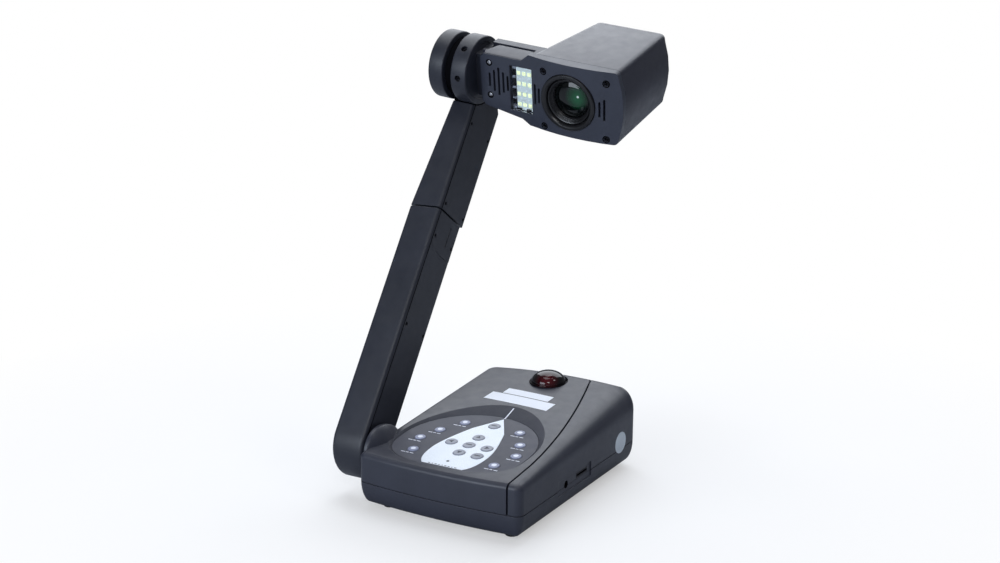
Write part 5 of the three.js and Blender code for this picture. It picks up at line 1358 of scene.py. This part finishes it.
def head_screws():
    """Two bright screws in the neck and four dark ones in the bowed face, each in a rim of painted shade."""
    for z in (19.5, -21):
        x = 45.4
        screw = HEAD @ shift(x, HEAD_FACE + 0.9, z) @ turn_x(90)
        screw_head("neck_screw", 2.4, screw, "camera_head", STEEL, 1.0, 1.6)
        painted_shade_rim("neck_screw_rim", 2.7, 4.1, HEAD @ shift(x, HEAD_FACE, z))
    span, sunk = HEAD_END - HEAD_START, 3.2
    for x in (HEAD_START + 19, HEAD_END - 14):
        share = (x - HEAD_START) / span
        bow = -HEAD_BOW * share * (1 - share)
        slope = math.degrees(math.atan(-HEAD_BOW * (1 - 2 * share) / span))
        for z in (HEAD_BOTTOM + 6, HEAD_TOP - 14):
            screw = HEAD @ shift(x, HEAD_FACE + bow + sunk, z) @ turn_x(90)
            screw_head("face_screw", 2.7, screw, "camera_head", BLACK_SCREW, 1.0, 2.5 - bow - sunk)
            rim = HEAD @ shift(x, HEAD_FACE + bow, z) @ turn_z(slope)
            painted_shade_rim("face_screw_rim", 3.2, 4.4, rim)


# Light, floor and camera


def background(tree, colour, strength):
    node = tree.nodes.new("ShaderNodeBackground")
    node.inputs["Color"].default_value = colour
    node.inputs["Strength"].default_value = strength
    return node.outputs[0]


def studio():
    """Soft cool light from the room. The camera itself sees white."""
    world = bpy.data.worlds.new("soft_room")
    bpy.context.scene.world = world
    world.use_nodes = True
    tree = world.node_tree
    tree.nodes.clear()
    out = tree.nodes.new("ShaderNodeOutputWorld")
    mix = tree.nodes.new("ShaderNodeMixShader")
    path = tree.nodes.new("ShaderNodeLightPath")
    tree.links.new(path.outputs["Is Camera Ray"], mix.inputs[0])
    tree.links.new(background(tree, (0.85, 0.9, 1.0, 1), 0.17), mix.inputs[1])
    tree.links.new(background(tree, (1, 1, 1, 1), 1.0), mix.inputs[2])
    tree.links.new(mix.outputs[0], out.inputs[0])


def area_light(name, place, target, size, power, colour=(1, 1, 1)):
    data = bpy.data.lights.new(name, "AREA")
    data.shape = "RECTANGLE"
    data.size, data.size_y = size
    data.energy = power
    data.color = colour
    lamp = in_scene(name, data)
    lamp.location = place
    lamp.rotation_mode = "QUATERNION"
    lamp.rotation_quaternion = (Vector(target) - Vector(place)).to_track_quat("-Z", "Y")


def floor():
    """A pale floor that fades to white away from the object, and lights it less than it looks."""
    half = 6.0
    corners = [(x, y, 0) for x, y in bar(half, half)]
    mesh = bpy.data.meshes.new("floor")
    mesh.from_pydata(corners, [], [(0, 1, 2, 3)])
    made = Finish("pale_floor")
    tree = made.tree
    cloud = noise(tree, made.position, 3.0, 2.0)
    seen = tree.nodes.new("ShaderNodeLightPath").outputs["Is Camera Ray"]
    pale = mixed(tree, cloud, linear(236, 237, 240), linear(243, 244, 246))
    made.feed("Base Color", mixed(tree, seen, linear(172, 176, 184), pale))
    made.plain(Roughness=0.85)
    distance = tree.nodes.new("ShaderNodeVectorMath")
    distance.operation = "LENGTH"
    tree.links.new(made.position, distance.inputs[0])
    away = remap(tree, distance.outputs["Value"], 0.2, 0.9, 0.45, 1.0)
    white = tree.nodes.new("ShaderNodeEmission")
    white.inputs["Color"].default_value = (1, 1, 1, 1)
    both = tree.nodes.new("ShaderNodeMixShader")
    tree.links.new(maths(tree, "MULTIPLY", away, seen), both.inputs[0])
    tree.links.new(made.shader.outputs[0], both.inputs[1])
    tree.links.new(white.outputs[0], both.inputs[2])
    tree.links.new(both.outputs[0], tree.nodes["Material Output"].inputs["Surface"])
    mesh.materials.append(made.material)
    in_scene("floor", mesh)


def camera():
    """The camera of the photograph, as solved from the base's corners."""
    focal_pixels, picture_width = 1256.5, 1000
    data = bpy.data.cameras.new("photo_view")
    data.sensor_width = 36
    data.lens = focal_pixels * data.sensor_width / picture_width
    data.clip_end = 50
    eye = in_scene("photo_view", data)
    eye.location = (Vector((771.1, -1026.7, 524.8)) + BASE_CORNER) * MM
    forward = Vector((-0.4907, 0.8458, -0.2095)).normalized()
    right = forward.cross(Vector((-0.1094, 0.1788, 0.9778))).normalized()
    up = right.cross(forward)
    eye.rotation_mode = "QUATERNION"
    eye.rotation_quaternion = Matrix((right, up, -forward)).transposed().to_quaternion()
    bpy.context.scene.camera = eye


studio()
floor()
camera()
area_light("key_light", (-0.6, -2.3, 0.7), (0, 0, 0.25), (1.6, 1.0), 31, (0.81, 0.89, 1.0))
area_light("back_light", (-0.6, 1.8, 1.95), (0, 0, 0.25), (3.2, 2.0), 54, (0.9, 0.94, 1.0))
area_light("top_light", (-0.2, 0.2, 2.4), (0, 0, 0.2), (1.6, 1.6), 22, (0.93, 0.96, 1.0))
area_light("lens_light", (0.9, -1.6, 1.3), (0, 0, 0.3), (0.5, 0.5), 8)
area_light("side_light", (1.1, 0.0, 1.5), (-0.06, -0.14, 0.07), (0.35, 0.35), 2)

finish_packed_parts()
base_top_and_side_cover()
base_bottom()
key_marks()
teardrop_marks()
tip_line()
blank_label("blank_label_low", 93.8, 186, 86, 20, -4, 0.2)
blank_label("blank_label_high", 95.7, 204, 62, 14, -4, 0.45)
side_seal()
receiver_window()
lower_beam()
arm_screws()
arm_seam_painted_shade()
knob_disc()
hub_disc()
lens_rings()
lens_element()
lamp_chips()
neck_top()
neck_slot_and_frame()
lamp_board_parts()
head_screws()

bpy.context.scene.view_settings.view_transform = "Standard"
